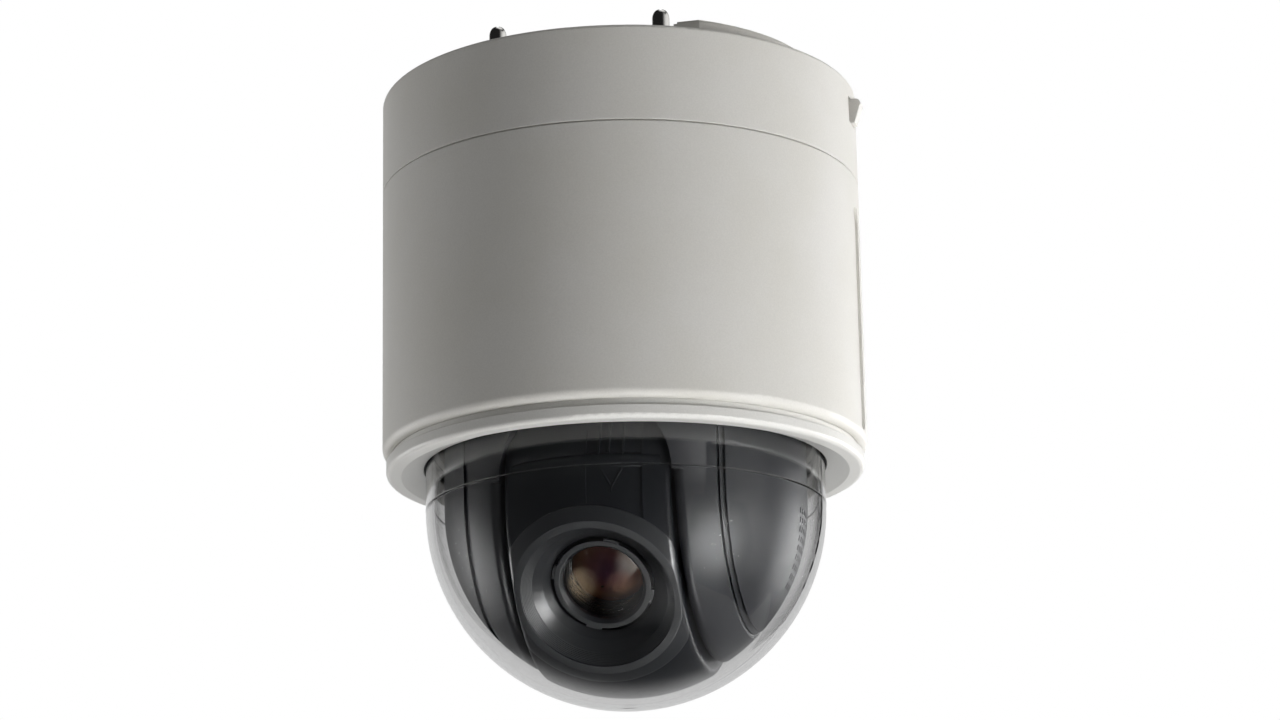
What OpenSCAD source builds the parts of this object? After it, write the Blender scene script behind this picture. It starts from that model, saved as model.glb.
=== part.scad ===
// In-ceiling pan, tilt and zoom dome camera.
// The origin is the centre of the mounting face on top. The camera hangs down towards -Z and faces -Y.
// The camera head is drawn looking straight ahead and then turned down to its resting tilt.

/* [Housing] */
// Outer radius of the top cover and the main housing
body_r = 84.5; // [83:0.5:90]
// Height of the top cover, from the mounting face down to the seam
cover_h = 34.2; // [32:0.2:37]
// Depth of the main housing's lower lip below the mounting face
body_h = 129; // [128:0.5:134]
// Wall of the top cover and the main housing
shell_wall = 2.6; // [2.2:0.1:3]
// Thickness of the top cover's plate
plate_t = 3; // [2.5:0.1:4]
// Rounding of the top cover's rim
rim_round = 1.2; // [0.6:0.1:2]
// Rounding of the main housing's lower corner
lip_round = 3; // [1:0.5:4]
// Height of the fine shadow gap at the seam
seam_gap = 0.5; // [0.3:0.1:0.8]
// Width of the finger groove down each side
groove_w = 8; // [5:0.5:10]
// Depth of the finger groove
groove_d = 1.1; // [0.6:0.1:1.4]
// Radius of the bosses that carry the chassis and the cover
boss_r = 4.5; // [4:0.1:5]

/* [Trim ring and bubble] */
// Outer radius of the trim ring
trim_r = 83.2; // [82.6:0.1:84]
// Height of the shadow groove above the trim ring
trim_gap = 2.4; // [1.5:0.1:3]
// Height of the trim ring below its shadow groove
trim_h = 4.6; // [4:0.1:6]
// Radius of the opening that the bubble comes through
opening_r = 70.2; // [70.1:0.1:71]
// Outer radius of the clear bubble
bubble_r = 69.5; // [69:0.1:69.7]
// Wall of the clear bubble
bubble_wall = 2.5; // [2:0.1:2.7]
// Depth of the bubble's equator below the housing lip
bubble_drop = 19; // [18:0.5:22]
// Thickness of each leaf of the rubber seal
seal_t = 0.8; // [0.6:0.1:1]

/* [Mounting] */
// Distance between the studs from side to side
stud_dx = 58; // [50:1:62]
// Distance between the studs from front to back
stud_dy = 112; // [100:1:116]
// Radius of a stud
stud_r = 3; // [2.5:0.1:3.5]
// Height of a stud above the mounting face
stud_h = 13.4; // [11:0.2:18]
// Height of the raised terminal cover
terminal_h = 8; // [6:0.5:9]
// Distance of the terminal cover's straight side from the middle
terminal_x = 34; // [33.5:0.5:38]
// Radius of the cable hole in the grommet
cable_r = 4.5; // [3:0.1:5]
// Travel of a side latch when it is pressed
latch_travel = 2.5; // [2:0.1:2.8]
// Width of a side latch
latch_w = 10; // [9:0.5:13]
// Width of a latch's finger tab
tab_w = 5; // [4:0.5:7]
// Height of a side latch
latch_h = 8.8; // [8:0.2:10]

/* [Liner] */
// Outer radius of the dark liner that turns with the camera
liner_r = 63; // [62.7:0.1:63.4]
// Wall of the liner
liner_wall = 1.5; // [1.2:0.1:1.5]
// Half width of the slot that the camera head looks through
slot_half = 29.2; // [29:0.1:29.6]
// Rounding of the slot's edge
slot_round = 2.4; // [1.5:0.1:2.6]
// Distance of the side covers' seam from the middle
side_seam = 42.3; // [41.5:0.1:43]
// Height of the slot's arch above the bubble's equator
arch_rise = 29; // [26:0.5:30]
// Rows of ventilation slots
vent_rows = 9; // [6:1:10]
// Columns of ventilation slots
vent_cols = 6; // [4:1:7]

/* [Camera head] */
// Radius of the round camera head
ball_r = 61; // [60:0.1:61.2]
// Half width of the camera head
head_half = 28.2; // [27.5:0.1:28.3]
// Wall of the head's shells
head_wall = 2; // [1.6:0.1:2.4]
// Distance of the tilt axis below the bubble's equator
tilt_drop = 4.1; // [3.5:0.1:4.5]
// Distance of the flat lens ring from the tilt axis
ring_s = 54; // [53.5:0.1:54.5]
// Resting tilt below the horizon
rest_tilt = 39.5; // [30:0.5:50]
// Width of the smooth band round the lens opening
ring_band = 2.5; // [2:0.1:3]
// Radius of the funnel's mouth at its back
funnel_r = 17.6; // [17:0.1:18.5]
// Depth of the funnel
funnel_d = 9.6; // [8:0.2:11]
// Number of fine grooves round the funnel
funnel_grooves = 7; // [4:1:8]
// Radius of the front glass
glass_r = 13.6; // [13:0.1:14]

/* [Drive] */
// Tooth module of the pan gears
pan_module = 0.8; // [0.8:0.05:0.85]
// Teeth of the pan gear
pan_teeth = 90; // [84:2:92]
// Teeth of each motor pinion
pinion_teeth = 18; // [18:1:20]
// Tooth module of the tilt gears
tilt_module = 0.6; // [0.55:0.05:0.65]
// Teeth of the tilt gear
tilt_teeth = 54; // [48:2:56]
// Thickness of the pan gear
gear_t = 5; // [4:0.5:6]
// Play between meshing teeth
backlash = 0.12; // [0.08:0.01:0.2]

/* [Hidden] */

$fn = 96;
eps = 0.01;
cut = 1;             // how far a cutter runs past a face
fit = 0.02;          // radial play of pieces that are pressed or clamped together
run_fit = 0.05;      // radial play of a shaft that turns in a hole
slide_fit = 0.3;     // play round a piece that slides or is laid in
screw_r = 1.5;       // shank of the small screws
screw_head_r = 2.8;
screw_head_h = 1.8;
tap_r = 1.55;        // hole that a small screw bites in

// Heights, from the mounting face down
lip_z = -body_h;
flange_z = lip_z + 0.6;
flange_t = 3;
flange_r = liner_r + 2.2;
inner_r = body_r - shell_wall;
centre_z = lip_z - bubble_drop;
tilt_z = centre_z - tilt_drop;
trim_top_z = lip_z - trim_gap;
trim_bottom_z = trim_top_z - trim_h;
bubble_flange_t = 1.6;
bubble_flange_z = flange_z - seal_t;
bubble_flange_r = bubble_r + 6.5;
deck_clear = 3;
deck_t = 4;
deck_z = tilt_z + ball_r + deck_clear;
deck_top = deck_z + deck_t;
gear_pad = 1.5;
gear_z = deck_top + gear_pad;
plate_gap = 2.1;
base_z = gear_z + gear_t + plate_gap;
base_t = 4;
base_top = base_z + base_t;
base_r = inner_r - 1.9;

// Bosses: four carry the chassis from below, four between them carry the cover
boss_ring = inner_r - boss_r - 1.9;
chassis_angles = [0, 90, 180, 270];
cover_angles = [45, 135, 225, 315];
cover_boss_drop = 4;
cover_boss_len = 20;

// Pan bearing: a thin ball bearing of 30 x 42 x 7
race_in = 15;
race_out = 21;
race_w = 7;
race_z = base_z + 2;
race_top = race_z + race_w;
race_wall = 1.9;
ball_bearing_r = 1.6;
ball_track_r = (race_in + race_out) / 2;
neck_bore = 12.2;
neck_low_r = race_in + 1.6;
nut_h = 4.5;
retainer_t = 2;

// Gears
pan_pitch_r = pan_module * pan_teeth / 2;
pan_pinion_r = pan_module * pinion_teeth / 2;
pan_centre = pan_pitch_r + pan_pinion_r;
pan_motor_angle = 90;
tilt_centre = tilt_module * (tilt_teeth + pinion_teeth) / 2;

// Yoke
arm_x = 35;
arm_t = 4;
arm_half = 16;
arm_foot = 3;
bush_r = 8;
axle_r = 5;
gear_x = arm_x + arm_t + 1.5;
tilt_gear_t = 4;
shroud_wall = 2;
liner_inner = liner_r - liner_wall;
seam_play = 0.4;
seam_step_w = 2.2;
seam_step_d = 0.7;
trunnion_r = 17.5;
trunnion_t = 2;
liner_flange = 8;
liner_flange_t = 2;

// Fan
fan_size = 24;
fan_t = 6;
fan_x = arm_x + arm_t + 4;
fan_y = 1;
fan_z = centre_z - 20;
fan_bore = 11.2;

// Terminal cover
terminal_r = body_r - 12;
terminal_half = stud_dy / 2 + 2.4;
terminal_wall = 2;
grommet_x = (terminal_x + terminal_r) / 2 + 0.5;
grommet_r = cable_r + 3.5;

// Optical parts, measured forwards from the tilt axis
hood_back = ring_s - funnel_d;
barrel_back = 18;
chassis_back = -34;
chassis_half = 20;
rod_x = 15;
rod_w = 13;
rod_r = 1.5;

// ---------- shared shapes ----------

function involute(a) = tan(a) * 180 / PI - a;

// One flank of a gear tooth: its angle from the tooth's middle at radius r
function flank(r, pitch, base, half) = half + involute(20) - involute(acos(min(1, base / r)));

module gear_outline(mod, teeth) {
    pitch = mod * teeth / 2;
    base = pitch * cos(20);
    root = pitch - 1.25 * mod;
    tip = pitch + 0.95 * mod;
    start = max(base, root);
    half = 90 / teeth - backlash / 4 / pitch * 180 / PI;
    steps = 4;
    radii = [for (i = [0:steps]) start + (tip - start) * i / steps];
    root_half = flank(start, pitch, base, half);
    points = [for (t = [0:teeth - 1]) let (mid = 360 / teeth * t) each concat(
        [root * [cos(mid - root_half), sin(mid - root_half)]],
        [for (r = radii) let (a = mid - flank(r, pitch, base, half)) r * [cos(a), sin(a)]],
        [for (i = [steps:-1:0]) let (r = radii[i], a = mid + flank(r, pitch, base, half)) r * [cos(a), sin(a)]],
        [root * [cos(mid + root_half), sin(mid + root_half)]]
    )];
    polygon(points);
}

// A ring standing on z = 0
module ring(outer, inner, height) {
    difference() {
        cylinder(r = outer, h = height);
        translate([0, 0, -cut]) cylinder(r = inner, h = height + 2 * cut);
    }
}

// Places copies round the vertical axis
module around(radius, angles) {
    for (a = angles) rotate([0, 0, a]) translate([radius, 0, 0]) children();
}

// Mirrors a piece of the -X side to the side given by side = -1 or 1
module on_side(side) {
    if (side > 0) mirror([1, 0, 0]) children();
    else children();
}

// A cylinder along X from x0 to x1
module x_rod(r, x0, x1) {
    translate([x0, 0, 0]) rotate([0, 90, 0]) cylinder(r = r, h = x1 - x0);
}

// A cylinder along the optical axis, which is -Y, from s0 forwards to s1
module s_rod(r, s0, s1) {
    translate([0, -s0, 0]) rotate([90, 0, 0]) cylinder(r = r, h = s1 - s0);
}

// Turns a flat outline of (distance from the tilt axis, x) about X, from angle a0 to a1 above the optical axis
module head_sweep(a0, a1) {
    rotate([0, 90, 0]) rotate([0, 0, -a1 - 90]) rotate_extrude(angle = a1 - a0, $fn = 128) children();
}

// Turns a flat outline of (radius, s) about the optical axis
module lens_turn() {
    rotate([90, 0, 0]) rotate_extrude() children();
}

// Puts a piece drawn about the tilt axis in its place, looking down by the resting tilt
module at_head() {
    translate([0, 0, tilt_z]) rotate([rest_tilt, 0, 0]) children();
}

// A small screw whose head sits on z = 0 and whose shank points down
module small_screw(length) {
    difference() {
        cylinder(r = screw_head_r, h = screw_head_h);
        translate([0, 0, screw_head_h - 0.9]) cross_slot(1.6, 2);
    }
    translate([0, 0, -length]) cylinder(r = screw_r, h = length + eps);
}

module cross_slot(half, height) {
    for (a = [0, 90]) rotate([0, 0, a]) translate([-half, -0.35, 0]) cube([2 * half, 0.7, height]);
}

// A rounded bar outline, centred, with its round ends above and below
module bar(width, length) {
    square([width, length - width], center = true);
    for (s = [-1, 1]) translate([0, s * (length - width) / 2]) circle(d = width);
}

// ---------- housing ----------

module stud_places() {
    for (x = [-1, 1], y = [-1, 1]) translate([x * stud_dx / 2, y * stud_dy / 2, 0]) children();
}

// The D-shaped plan of the raised terminal cover, drawn in by inset
module terminal_plan(inset) {
    intersection() {
        circle(r = terminal_r - inset, $fn = 180);
        translate([terminal_x + inset, -terminal_half + inset])
            square([terminal_r, 2 * (terminal_half - inset)]);
    }
}

module latch_window() {
    translate([inner_r - 2, -latch_w / 2 - slide_fit, latch_z - latch_h / 2 - slide_fit])
        cube([20, latch_w + 2 * slide_fit, latch_h + 2 * slide_fit]);
}

module top_cover() {
    color("#e4e3de") difference() {
        union() {
            difference() {
                rotate_extrude($fn = 180) difference() {
                    union() {
                        translate([0, -cover_h]) square([body_r - rim_round, cover_h]);
                        translate([0, -cover_h]) square([body_r, cover_h - rim_round]);
                        translate([body_r - rim_round, -rim_round]) circle(r = rim_round, $fn = 48);
                    }
                    translate([-cut, -cover_h - cut]) square([inner_r + cut, cover_h - plate_t + cut]);
                    translate([body_r - 1.1, -cover_h - cut]) square([2, seam_gap + cut]);
                }
            }
            // spigot that enters the main housing
            translate([0, 0, -cover_h - 3]) ring(inner_r - fit, inner_r - 2, 8);
            // bosses for the studs, the cover screws and the power board
            stud_places() translate([0, 0, -stud_boss_h]) cylinder(r = stud_nut_r + 1.4, h = stud_boss_h - plate_t + eps);
            around(boss_ring, cover_angles) {
                translate([0, 0, -cover_h - cover_boss_drop])
                    cylinder(r = boss_r, h = cover_h + cover_boss_drop - plate_t + eps);
                translate([0, -1, -cover_h + 2]) cube([inner_r - boss_ring + 0.5, 2, cover_h - plate_t - 2 + eps]);
            }
            around(board_post_ring, board_post_angles)
                translate([0, 0, power_board_z + board_t])
                    cylinder(r = 3.2, h = -power_board_z - board_t - plate_t + eps);
            // stiffening ribs under the plate
            for (a = [15:30:165]) rotate([0, 0, a]) difference() {
                translate([-inner_r - 0.5, -0.8, -plate_t - 3]) cube([2 * inner_r + 1, 1.6, 3 + eps]);
                translate([-26, -cut, -plate_t - 3 - cut]) cube([52, 2 * cut, 3 + 2 * cut]);
            }
            // guides that the side latches slide in
            for (side = [-1, 1]) on_side(-side) latch_guide();
        }
        stud_places() {
            translate([0, 0, -stud_boss_h - cut]) cylinder(r = stud_neck_r + fit, h = stud_boss_h + 2 * cut);
            translate([0, 0, -stud_boss_h - cut])
                cylinder(r = stud_nut_r + 0.1, h = stud_boss_h + nut_seat + cut, $fn = 6);
        }
        around(boss_ring, cover_angles) {
            translate([0, 0, -cover_h - 20]) cylinder(r = screw_r + 0.1, h = cover_h + 30);
            translate([0, 0, -screw_head_h - 0.6]) cylinder(r = screw_head_r + 0.3, h = 10);
        }
        around(board_post_ring, board_post_angles)
            translate([0, 0, power_board_z - cut]) cylinder(r = tap_r, h = 10);
        // window under the terminal cover, and its two screw holes
        translate([0, 0, -plate_t - 3 - cut]) linear_extrude(plate_t + 3 + 2 * cut) intersection() {
            terminal_plan(6);
            square([400, 2 * (terminal_half - 18)], center = true);
        }
        for (y = [-1, 1]) translate([terminal_screw_x, y * terminal_screw_y, -plate_t - cut])
            cylinder(r = tap_r, h = plate_t + 2 * cut);
        for (side = [-1, 1]) on_side(-side) latch_window();
    }
}

latch_z = -6 - latch_h / 2;
latch_shoulder = 1.5;
latch_front = inner_r - 0.6;
guide_wall = 1.6;
tab_round = 1.8;
tab_out = 3.5;
spring_r = 2.4;
spring_wire = 0.35;
latch_back = inner_r - 6.5;
spring_free = 7;

// Box round the tail of a latch, open outwards, with a back wall that the spring leans on
module latch_guide() {
    guide_x = latch_back - latch_travel - spring_free - guide_wall;
    guide_half = latch_w / 2 + latch_shoulder + slide_fit;
    low = latch_z - latch_h / 2 - slide_fit;
    difference() {
        translate([guide_x, -guide_half - guide_wall, low - guide_wall])
            cube([inner_r - guide_x + 0.5, 2 * (guide_half + guide_wall), -plate_t - low + guide_wall + eps]);
        intersection() {
            translate([guide_x + guide_wall, -guide_half, low]) cube([40, 2 * guide_half, latch_h + 2 * slide_fit]);
            cylinder(r = inner_r, h = 200, center = true, $fn = 180);
        }
    }
}

// A push latch: a finger tab outside, a wide tail inside the guide and a pocket for its spring
module latch() {
    face_x = body_r - 2.2;
    nose = body_r + tab_out;
    top = latch_z + latch_h / 2;
    low = latch_z - latch_h / 2;
    difference() {
        union() {
            translate([latch_back, -latch_w / 2 - latch_shoulder, low])
                cube([latch_front - latch_back, latch_w + 2 * latch_shoulder, latch_h]);
            translate([latch_front - eps, -latch_w / 2, low]) cube([face_x - latch_front + 2 * eps, latch_w, latch_h]);
            translate([0, tab_w / 2, 0]) rotate([90, 0, 0]) linear_extrude(tab_w) {
                polygon([
                    [face_x, low], [nose - 2.2, low], [nose, top - tab_round],
                    [nose - tab_round, top], [face_x, top]
                ]);
                translate([nose - tab_round, top - tab_round]) circle(r = tab_round, $fn = 48);
            }
        }
        translate([latch_back - cut, 0, latch_z]) rotate([0, 90, 0]) cylinder(r = spring_r + 0.5, h = 3 + cut);
    }
}

// A coil spring along X that fills the gap between the guide and the latch's pocket
module latch_spring() {
    x0 = latch_back - latch_travel - spring_free;
    x1 = latch_back + 3;
    turns = 6;
    pitch = (x1 - x0 - 2 * spring_wire) / turns;
    translate([0, 0, latch_z]) for (i = [0:turns])
        translate([x0 + spring_wire + i * pitch, 0, 0]) rotate([0, 90, 0])
            rotate_extrude() translate([spring_r, 0]) circle(r = spring_wire, $fn = 16);
    // the straight runs that join one turn to the next
    for (i = [0:turns - 1]) translate([x0 + spring_wire + i * pitch, 0, latch_z])
        rotate([0, 90, 0]) rotate([0, 0, i % 2 * 180]) translate([spring_r, 0, 0])
            cylinder(r = 0.8 * spring_wire, h = pitch, $fn = 16);
}

module latch_left() { color("#dddcd6") on_side(1) latch(); }
module latch_right() { color("#dddcd6") latch(); }
module latch_spring_left() { color("#b8bcc0") on_side(1) latch_spring(); }
module latch_spring_right() { color("#b8bcc0") latch_spring(); }

stud_boss_h = 12;
stud_neck_r = stud_r - 0.6;
nut_seat = -7;
stud_nut_h = 4.6;
stud_nut_r = 5.1;

// Machined shoulder studs with a tapered, cross-slotted tip
module ceiling_studs() {
    color("#aeb2b6") stud_places() difference() {
        union() {
            translate([0, 0, -stud_boss_h - 1.5]) cylinder(r = stud_neck_r, h = stud_boss_h + 1.5 + eps);
            cylinder(r = stud_r, h = stud_h - 3);
            translate([0, 0, stud_h - 3]) cylinder(r1 = stud_r, r2 = stud_r - 1.3, h = 2.2);
            translate([0, 0, stud_h - 0.8]) cylinder(r1 = stud_r - 1.3, r2 = stud_r - 1.9, h = 0.8);
        }
        translate([0, 0, stud_h - 1]) cross_slot(stud_r, 2);
    }
}

module stud_nuts() {
    color("#c2b280") stud_places() translate([0, 0, nut_seat - stud_nut_h]) difference() {
        cylinder(r = stud_nut_r, h = stud_nut_h, $fn = 6);
        translate([0, 0, -cut]) cylinder(r = stud_neck_r + fit, h = stud_nut_h + 2 * cut);
    }
}

terminal_screw_x = terminal_x + 7;
terminal_screw_y = terminal_half - 8;

module terminal_cover() {
    color("#e4e3de") difference() {
        union() {
            linear_extrude(terminal_h - 1) terminal_plan(0);
            translate([0, 0, terminal_h - 1 - eps]) linear_extrude(1 + eps) terminal_plan(1);
        }
        difference() {
            translate([0, 0, -cut]) linear_extrude(terminal_h - terminal_wall + cut) terminal_plan(terminal_wall);
            for (y = [-1, 1]) translate([terminal_screw_x, y * terminal_screw_y, -2 * cut])
                cylinder(r = boss_r, h = terminal_h);
        }
        for (y = [-1, 1]) translate([terminal_screw_x, y * terminal_screw_y, -cut]) {
            cylinder(r = screw_r + 0.1, h = terminal_h + 2 * cut);
            translate([0, 0, terminal_h + cut - screw_head_h - 0.5]) cylinder(r = screw_head_r + 0.3, h = 10);
        }
        translate([grommet_x, 0, 0]) cylinder(r = grommet_r + fit, h = terminal_h + cut);
    }
}

// Rubber grommet: a waist in the cover's hole, a flange inside and a stepped collar outside
module cable_grommet() {
    color("#26272a") translate([grommet_x, 0, 0]) rotate_extrude() difference() {
        union() {
            translate([0, terminal_h - terminal_wall - 1.5]) square([grommet_r + 2.2, 1.5]);
            translate([0, terminal_h - terminal_wall - 1]) square([grommet_r, terminal_wall + 1]);
            translate([0, terminal_h]) square([grommet_r + 2.2, 1.4]);
            translate([0, terminal_h]) square([cable_r + 2, 4]);
        }
        translate([-cut, -cut]) square([cable_r + cut, terminal_h + 8]);
    }
}

// The long screws of the top cover and the two of the terminal cover
module cover_screws() {
    terminal_head_z = terminal_h - screw_head_h - 0.5;
    color("#9a9da1") {
        around(boss_ring, cover_angles)
            translate([0, 0, -screw_head_h - 0.6]) small_screw(cover_h + cover_boss_drop + 8);
        for (y = [-1, 1]) translate([terminal_screw_x, y * terminal_screw_y, terminal_head_z])
            small_screw(terminal_head_z + plate_t);
    }
}

module main_housing() {
    color("#e4e3de") difference() {
        union() {
            rotate_extrude($fn = 180) difference() {
                union() {
                    translate([0, lip_z + lip_round]) square([body_r, body_h - lip_round - cover_h]);
                    translate([0, lip_z]) square([body_r - lip_round, lip_round + eps]);
                    translate([body_r - lip_round, lip_z + lip_round]) circle(r = lip_round, $fn = 64);
                }
                // inside, above and below the flange
                translate([-cut, flange_z + flange_t]) square([inner_r + cut, body_h]);
                translate([-cut, lip_z - cut]) square([flange_r + cut, 40]);
                translate([-cut, lip_z - cut]) square([trim_neck_r + slide_fit + cut, 0.6 + cut]);
            }
            // chassis bosses stand on the flange, each with a rib to the wall
            around(boss_ring, chassis_angles) {
                translate([0, 0, flange_z + flange_t - eps]) cylinder(r = boss_r, h = base_z - flange_z - flange_t + eps);
                translate([0, -1, flange_z + flange_t - eps])
                    cube([inner_r - boss_ring + 0.5, 2, base_z - flange_z - flange_t - 4]);
            }
            around(boss_ring, cover_angles) {
                translate([0, 0, -cover_h - cover_boss_drop - cover_boss_len]) cylinder(r = boss_r, h = cover_boss_len);
                translate([0, -1, -cover_h - cover_boss_drop - cover_boss_len])
                    cube([inner_r - boss_ring + 0.5, 2, cover_boss_len]);
            }
            // low ribs round the inside of the flange
            for (a = [50, 70], q = [0:90:270]) rotate([0, 0, a + q])
                translate([inner_r - 8, -0.8, flange_z + flange_t - eps]) cube([8.5, 1.6, 12]);
        }
        around(boss_ring, chassis_angles) translate([0, 0, base_z - 14]) cylinder(r = tap_r, h = 20);
        around(boss_ring, cover_angles)
            translate([0, 0, -cover_h - cover_boss_drop - 12]) cylinder(r = tap_r, h = 20);
        // finger groove with round ends down each side
        for (side = [0, 180]) rotate([0, 0, side]) translate([body_r + 20 - groove_d, 0, groove_mid])
            rotate([0, 90, 0]) rotate([0, 0, 90]) translate([0, 0, -20]) linear_extrude(30)
                bar(groove_w, groove_len);
        // slots that the trim ring's lugs enter and then lock in
        around(0, trim_lug_angles) trim_lug_slot();
    }
}

groove_top = cover_h + 11;
groove_len = body_h - groove_top - 3.5;
groove_mid = -groove_top - groove_len / 2;
trim_neck_r = trim_r - 2;
trim_lug_angles = [20, 110, 200, 290];
lug_r = bubble_flange_r + 2.4;
lug_t = 1.6;
lug_hook = 2;
lug_sweep = 12;

// A sector of a ring about Z, centred on +X
module sector(outer, inner, z0, z1, sweep) {
    rotate([0, 0, -sweep / 2]) rotate_extrude(angle = sweep, $fn = 180)
        translate([inner, z0]) square([outer - inner, z1 - z0]);
}

module trim_lug_slot() {
    low = lip_z - cut;
    high = flange_z + flange_t + cut;
    wide = lug_sweep + 1;
    long = 2 * wide - 0.5;
    // the whole slot, and the wider end that lets the hook through
    rotate([0, 0, (long - wide) / 2]) sector(lug_r + lug_t + slide_fit, lug_r - slide_fit, low, high, long);
    rotate([0, 0, wide - 0.5]) sector(lug_r + lug_t / 2, lug_r - lug_hook - slide_fit, low, high, wide - 0.5);
}

// Trim ring with a rounded outer edge, a hollowed lower face and three turn-and-lock lugs
module trim_ring() {
    edge = 1.7;
    crest = trim_neck_r - 3.2;
    color("#e7e6e1") union() {
        rotate_extrude($fn = 180) difference() {
            union() {
                translate([0, trim_bottom_z + edge]) square([trim_r, trim_h - edge]);
                translate([0, trim_bottom_z]) square([trim_r - edge, trim_h]);
                translate([trim_r - edge, trim_bottom_z + edge]) circle(r = edge, $fn = 48);
                translate([0, trim_top_z - eps]) square([trim_neck_r, flange_z - trim_top_z + eps]);
            }
            // pocket for the bubble's flange and its seal
            translate([-cut, bubble_flange_z - bubble_flange_t - seal_t]) square([bubble_flange_r + seal_t + 2 * fit + cut, 20]);
            translate([-cut, trim_bottom_z - cut]) square([opening_r + cut, 30]);
            // hollowed lower face, rising towards the opening
            polygon([
                [opening_r - cut, trim_bottom_z - cut], [crest + 1.2, trim_bottom_z - cut],
                [crest, trim_bottom_z], [opening_r - cut, opening_edge_z + 0.2]
            ]);
        }
        around(0, trim_lug_angles) {
            sector(lug_r + lug_t, lug_r, flange_z - eps, flange_z + flange_t + 2, lug_sweep);
            sector(lug_r + lug_t, lug_r - lug_hook, flange_z + flange_t + run_fit, flange_z + flange_t + 2, lug_sweep);
        }
    }
}

opening_edge_z = trim_bottom_z + 2.8;

// Clear bubble: a half sphere, a straight skirt and a flange, with a fine mould line at the equator
module bubble() {
    color("#dfe6ea", 0.25) difference() {
        union() {
            intersection() {
                translate([0, 0, centre_z]) sphere(r = bubble_r, $fn = 180);
                translate([0, 0, centre_z - 200 + eps]) cylinder(r = 200, h = 200);
            }
            translate([0, 0, centre_z]) cylinder(r = bubble_r, h = bubble_flange_z - centre_z, $fn = 180);
            translate([0, 0, centre_z - 0.15]) cylinder(r = bubble_r + 0.12, h = 0.3, $fn = 180);
            translate([0, 0, bubble_flange_z - bubble_flange_t]) cylinder(r = bubble_flange_r, h = bubble_flange_t, $fn = 180);
        }
        translate([0, 0, centre_z]) sphere(r = bubble_r - bubble_wall, $fn = 180);
        translate([0, 0, centre_z]) cylinder(r = bubble_r - bubble_wall, h = 100, $fn = 180);
    }
}

// Rubber seal folded round the edge of the bubble's flange
module bubble_seal() {
    low = bubble_flange_z - bubble_flange_t - seal_t;
    color("#161719") rotate_extrude($fn = 180) difference() {
        union() {
            translate([bubble_r + fit, low]) square([bubble_flange_r + seal_t - bubble_r - fit, flange_z - low]);
            translate([bubble_r + fit, low - 0.9]) square([opening_r - bubble_r - 2 * fit, 1.4]);
        }
        translate([0, bubble_flange_z - bubble_flange_t]) square([bubble_flange_r + fit, bubble_flange_t]);
    }
}

// ---------- boards ----------

board_t = 1.6;
power_board_z = -25.6;
board_post_ring = 60;
board_post_angles = [75, 150, 210, 285];
main_post_ring = 62;
main_post_angles = [20, 160, 200, 340];
main_board_z = base_top + 24;

module power_board() {
    color("#1d5a3a") difference() {
        union() {
            translate([0, 0, power_board_z]) cylinder(r = board_post_ring + 6, h = board_t);
            // transformer, capacitors and a choke under the board
            translate([-30, -16, power_board_z - 7]) cube([24, 20, 7 + eps]);
            for (p = [[8, -14], [20, -14], [8, 12]]) translate([p[0], p[1], power_board_z - 7.5]) cylinder(r = 5, h = 7.5 + eps);
            translate([-26, 22, power_board_z - 6]) cylinder(r = 7, h = 6 + eps);
        }
        around(board_post_ring, board_post_angles) translate([0, 0, power_board_z - cut]) cylinder(r = screw_r + 0.1, h = 10);
        translate([terminal_x + 7, -30, power_board_z - cut]) cube([3, 60, 10]);
    }
}

module terminal_block() {
    color("#2f7d4f") difference() {
        translate([terminal_x + 12, -25, power_board_z + board_t]) cube([11, 50, 13]);
        for (i = [0:7]) translate([terminal_x + 17.5, -25 + 6.25 * (i + 0.5), power_board_z + board_t + 7]) {
            cylinder(r = 1.9, h = 10);
            translate([-20, -1.6, -4]) cube([17, 3.2, 3.6]);
        }
    }
}

module main_board() {
    color("#1b4f38") difference() {
        union() {
            translate([0, 0, main_board_z]) cylinder(r = main_post_ring + 6, h = board_t);
            for (p = [[-38, -30, 14, 14], [-12, -40, 10, 10], [24, -34, 12, 18], [30, 14, 20, 10], [-44, 18, 9, 22]])
                translate([p[0], p[1], main_board_z + board_t - eps]) cube([p[2], p[3], 1.4]);
            // connectors along the front edge
            for (x = [-18, 0, 18]) translate([x - 6, -62, main_board_z + board_t - eps]) cube([12, 6, 5]);
        }
        around(main_post_ring, main_post_angles) translate([0, 0, main_board_z - cut]) cylinder(r = screw_r + 0.1, h = 10);
    }
}

// Finned block on the image processor
module board_heatsink() {
    color("#8f9499") translate([-10, -10, main_board_z + board_t]) {
        cube([26, 26, 1.8]);
        for (i = [0:7]) translate([i * 26 / 7.5, 0, 0]) cube([1.2, 26, 7]);
    }
}

// The screws of both boards and of the base plate
module chassis_screws() {
    color("#9a9da1") {
        around(boss_ring, chassis_angles) translate([0, 0, base_top]) small_screw(base_t + 9);
        around(main_post_ring, main_post_angles) translate([0, 0, main_board_z + board_t]) small_screw(8);
        around(board_post_ring, board_post_angles) translate([0, 0, power_board_z]) mirror([0, 0, 1]) small_screw(8);
    }
}

// ---------- pan stage, fixed side ----------

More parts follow.
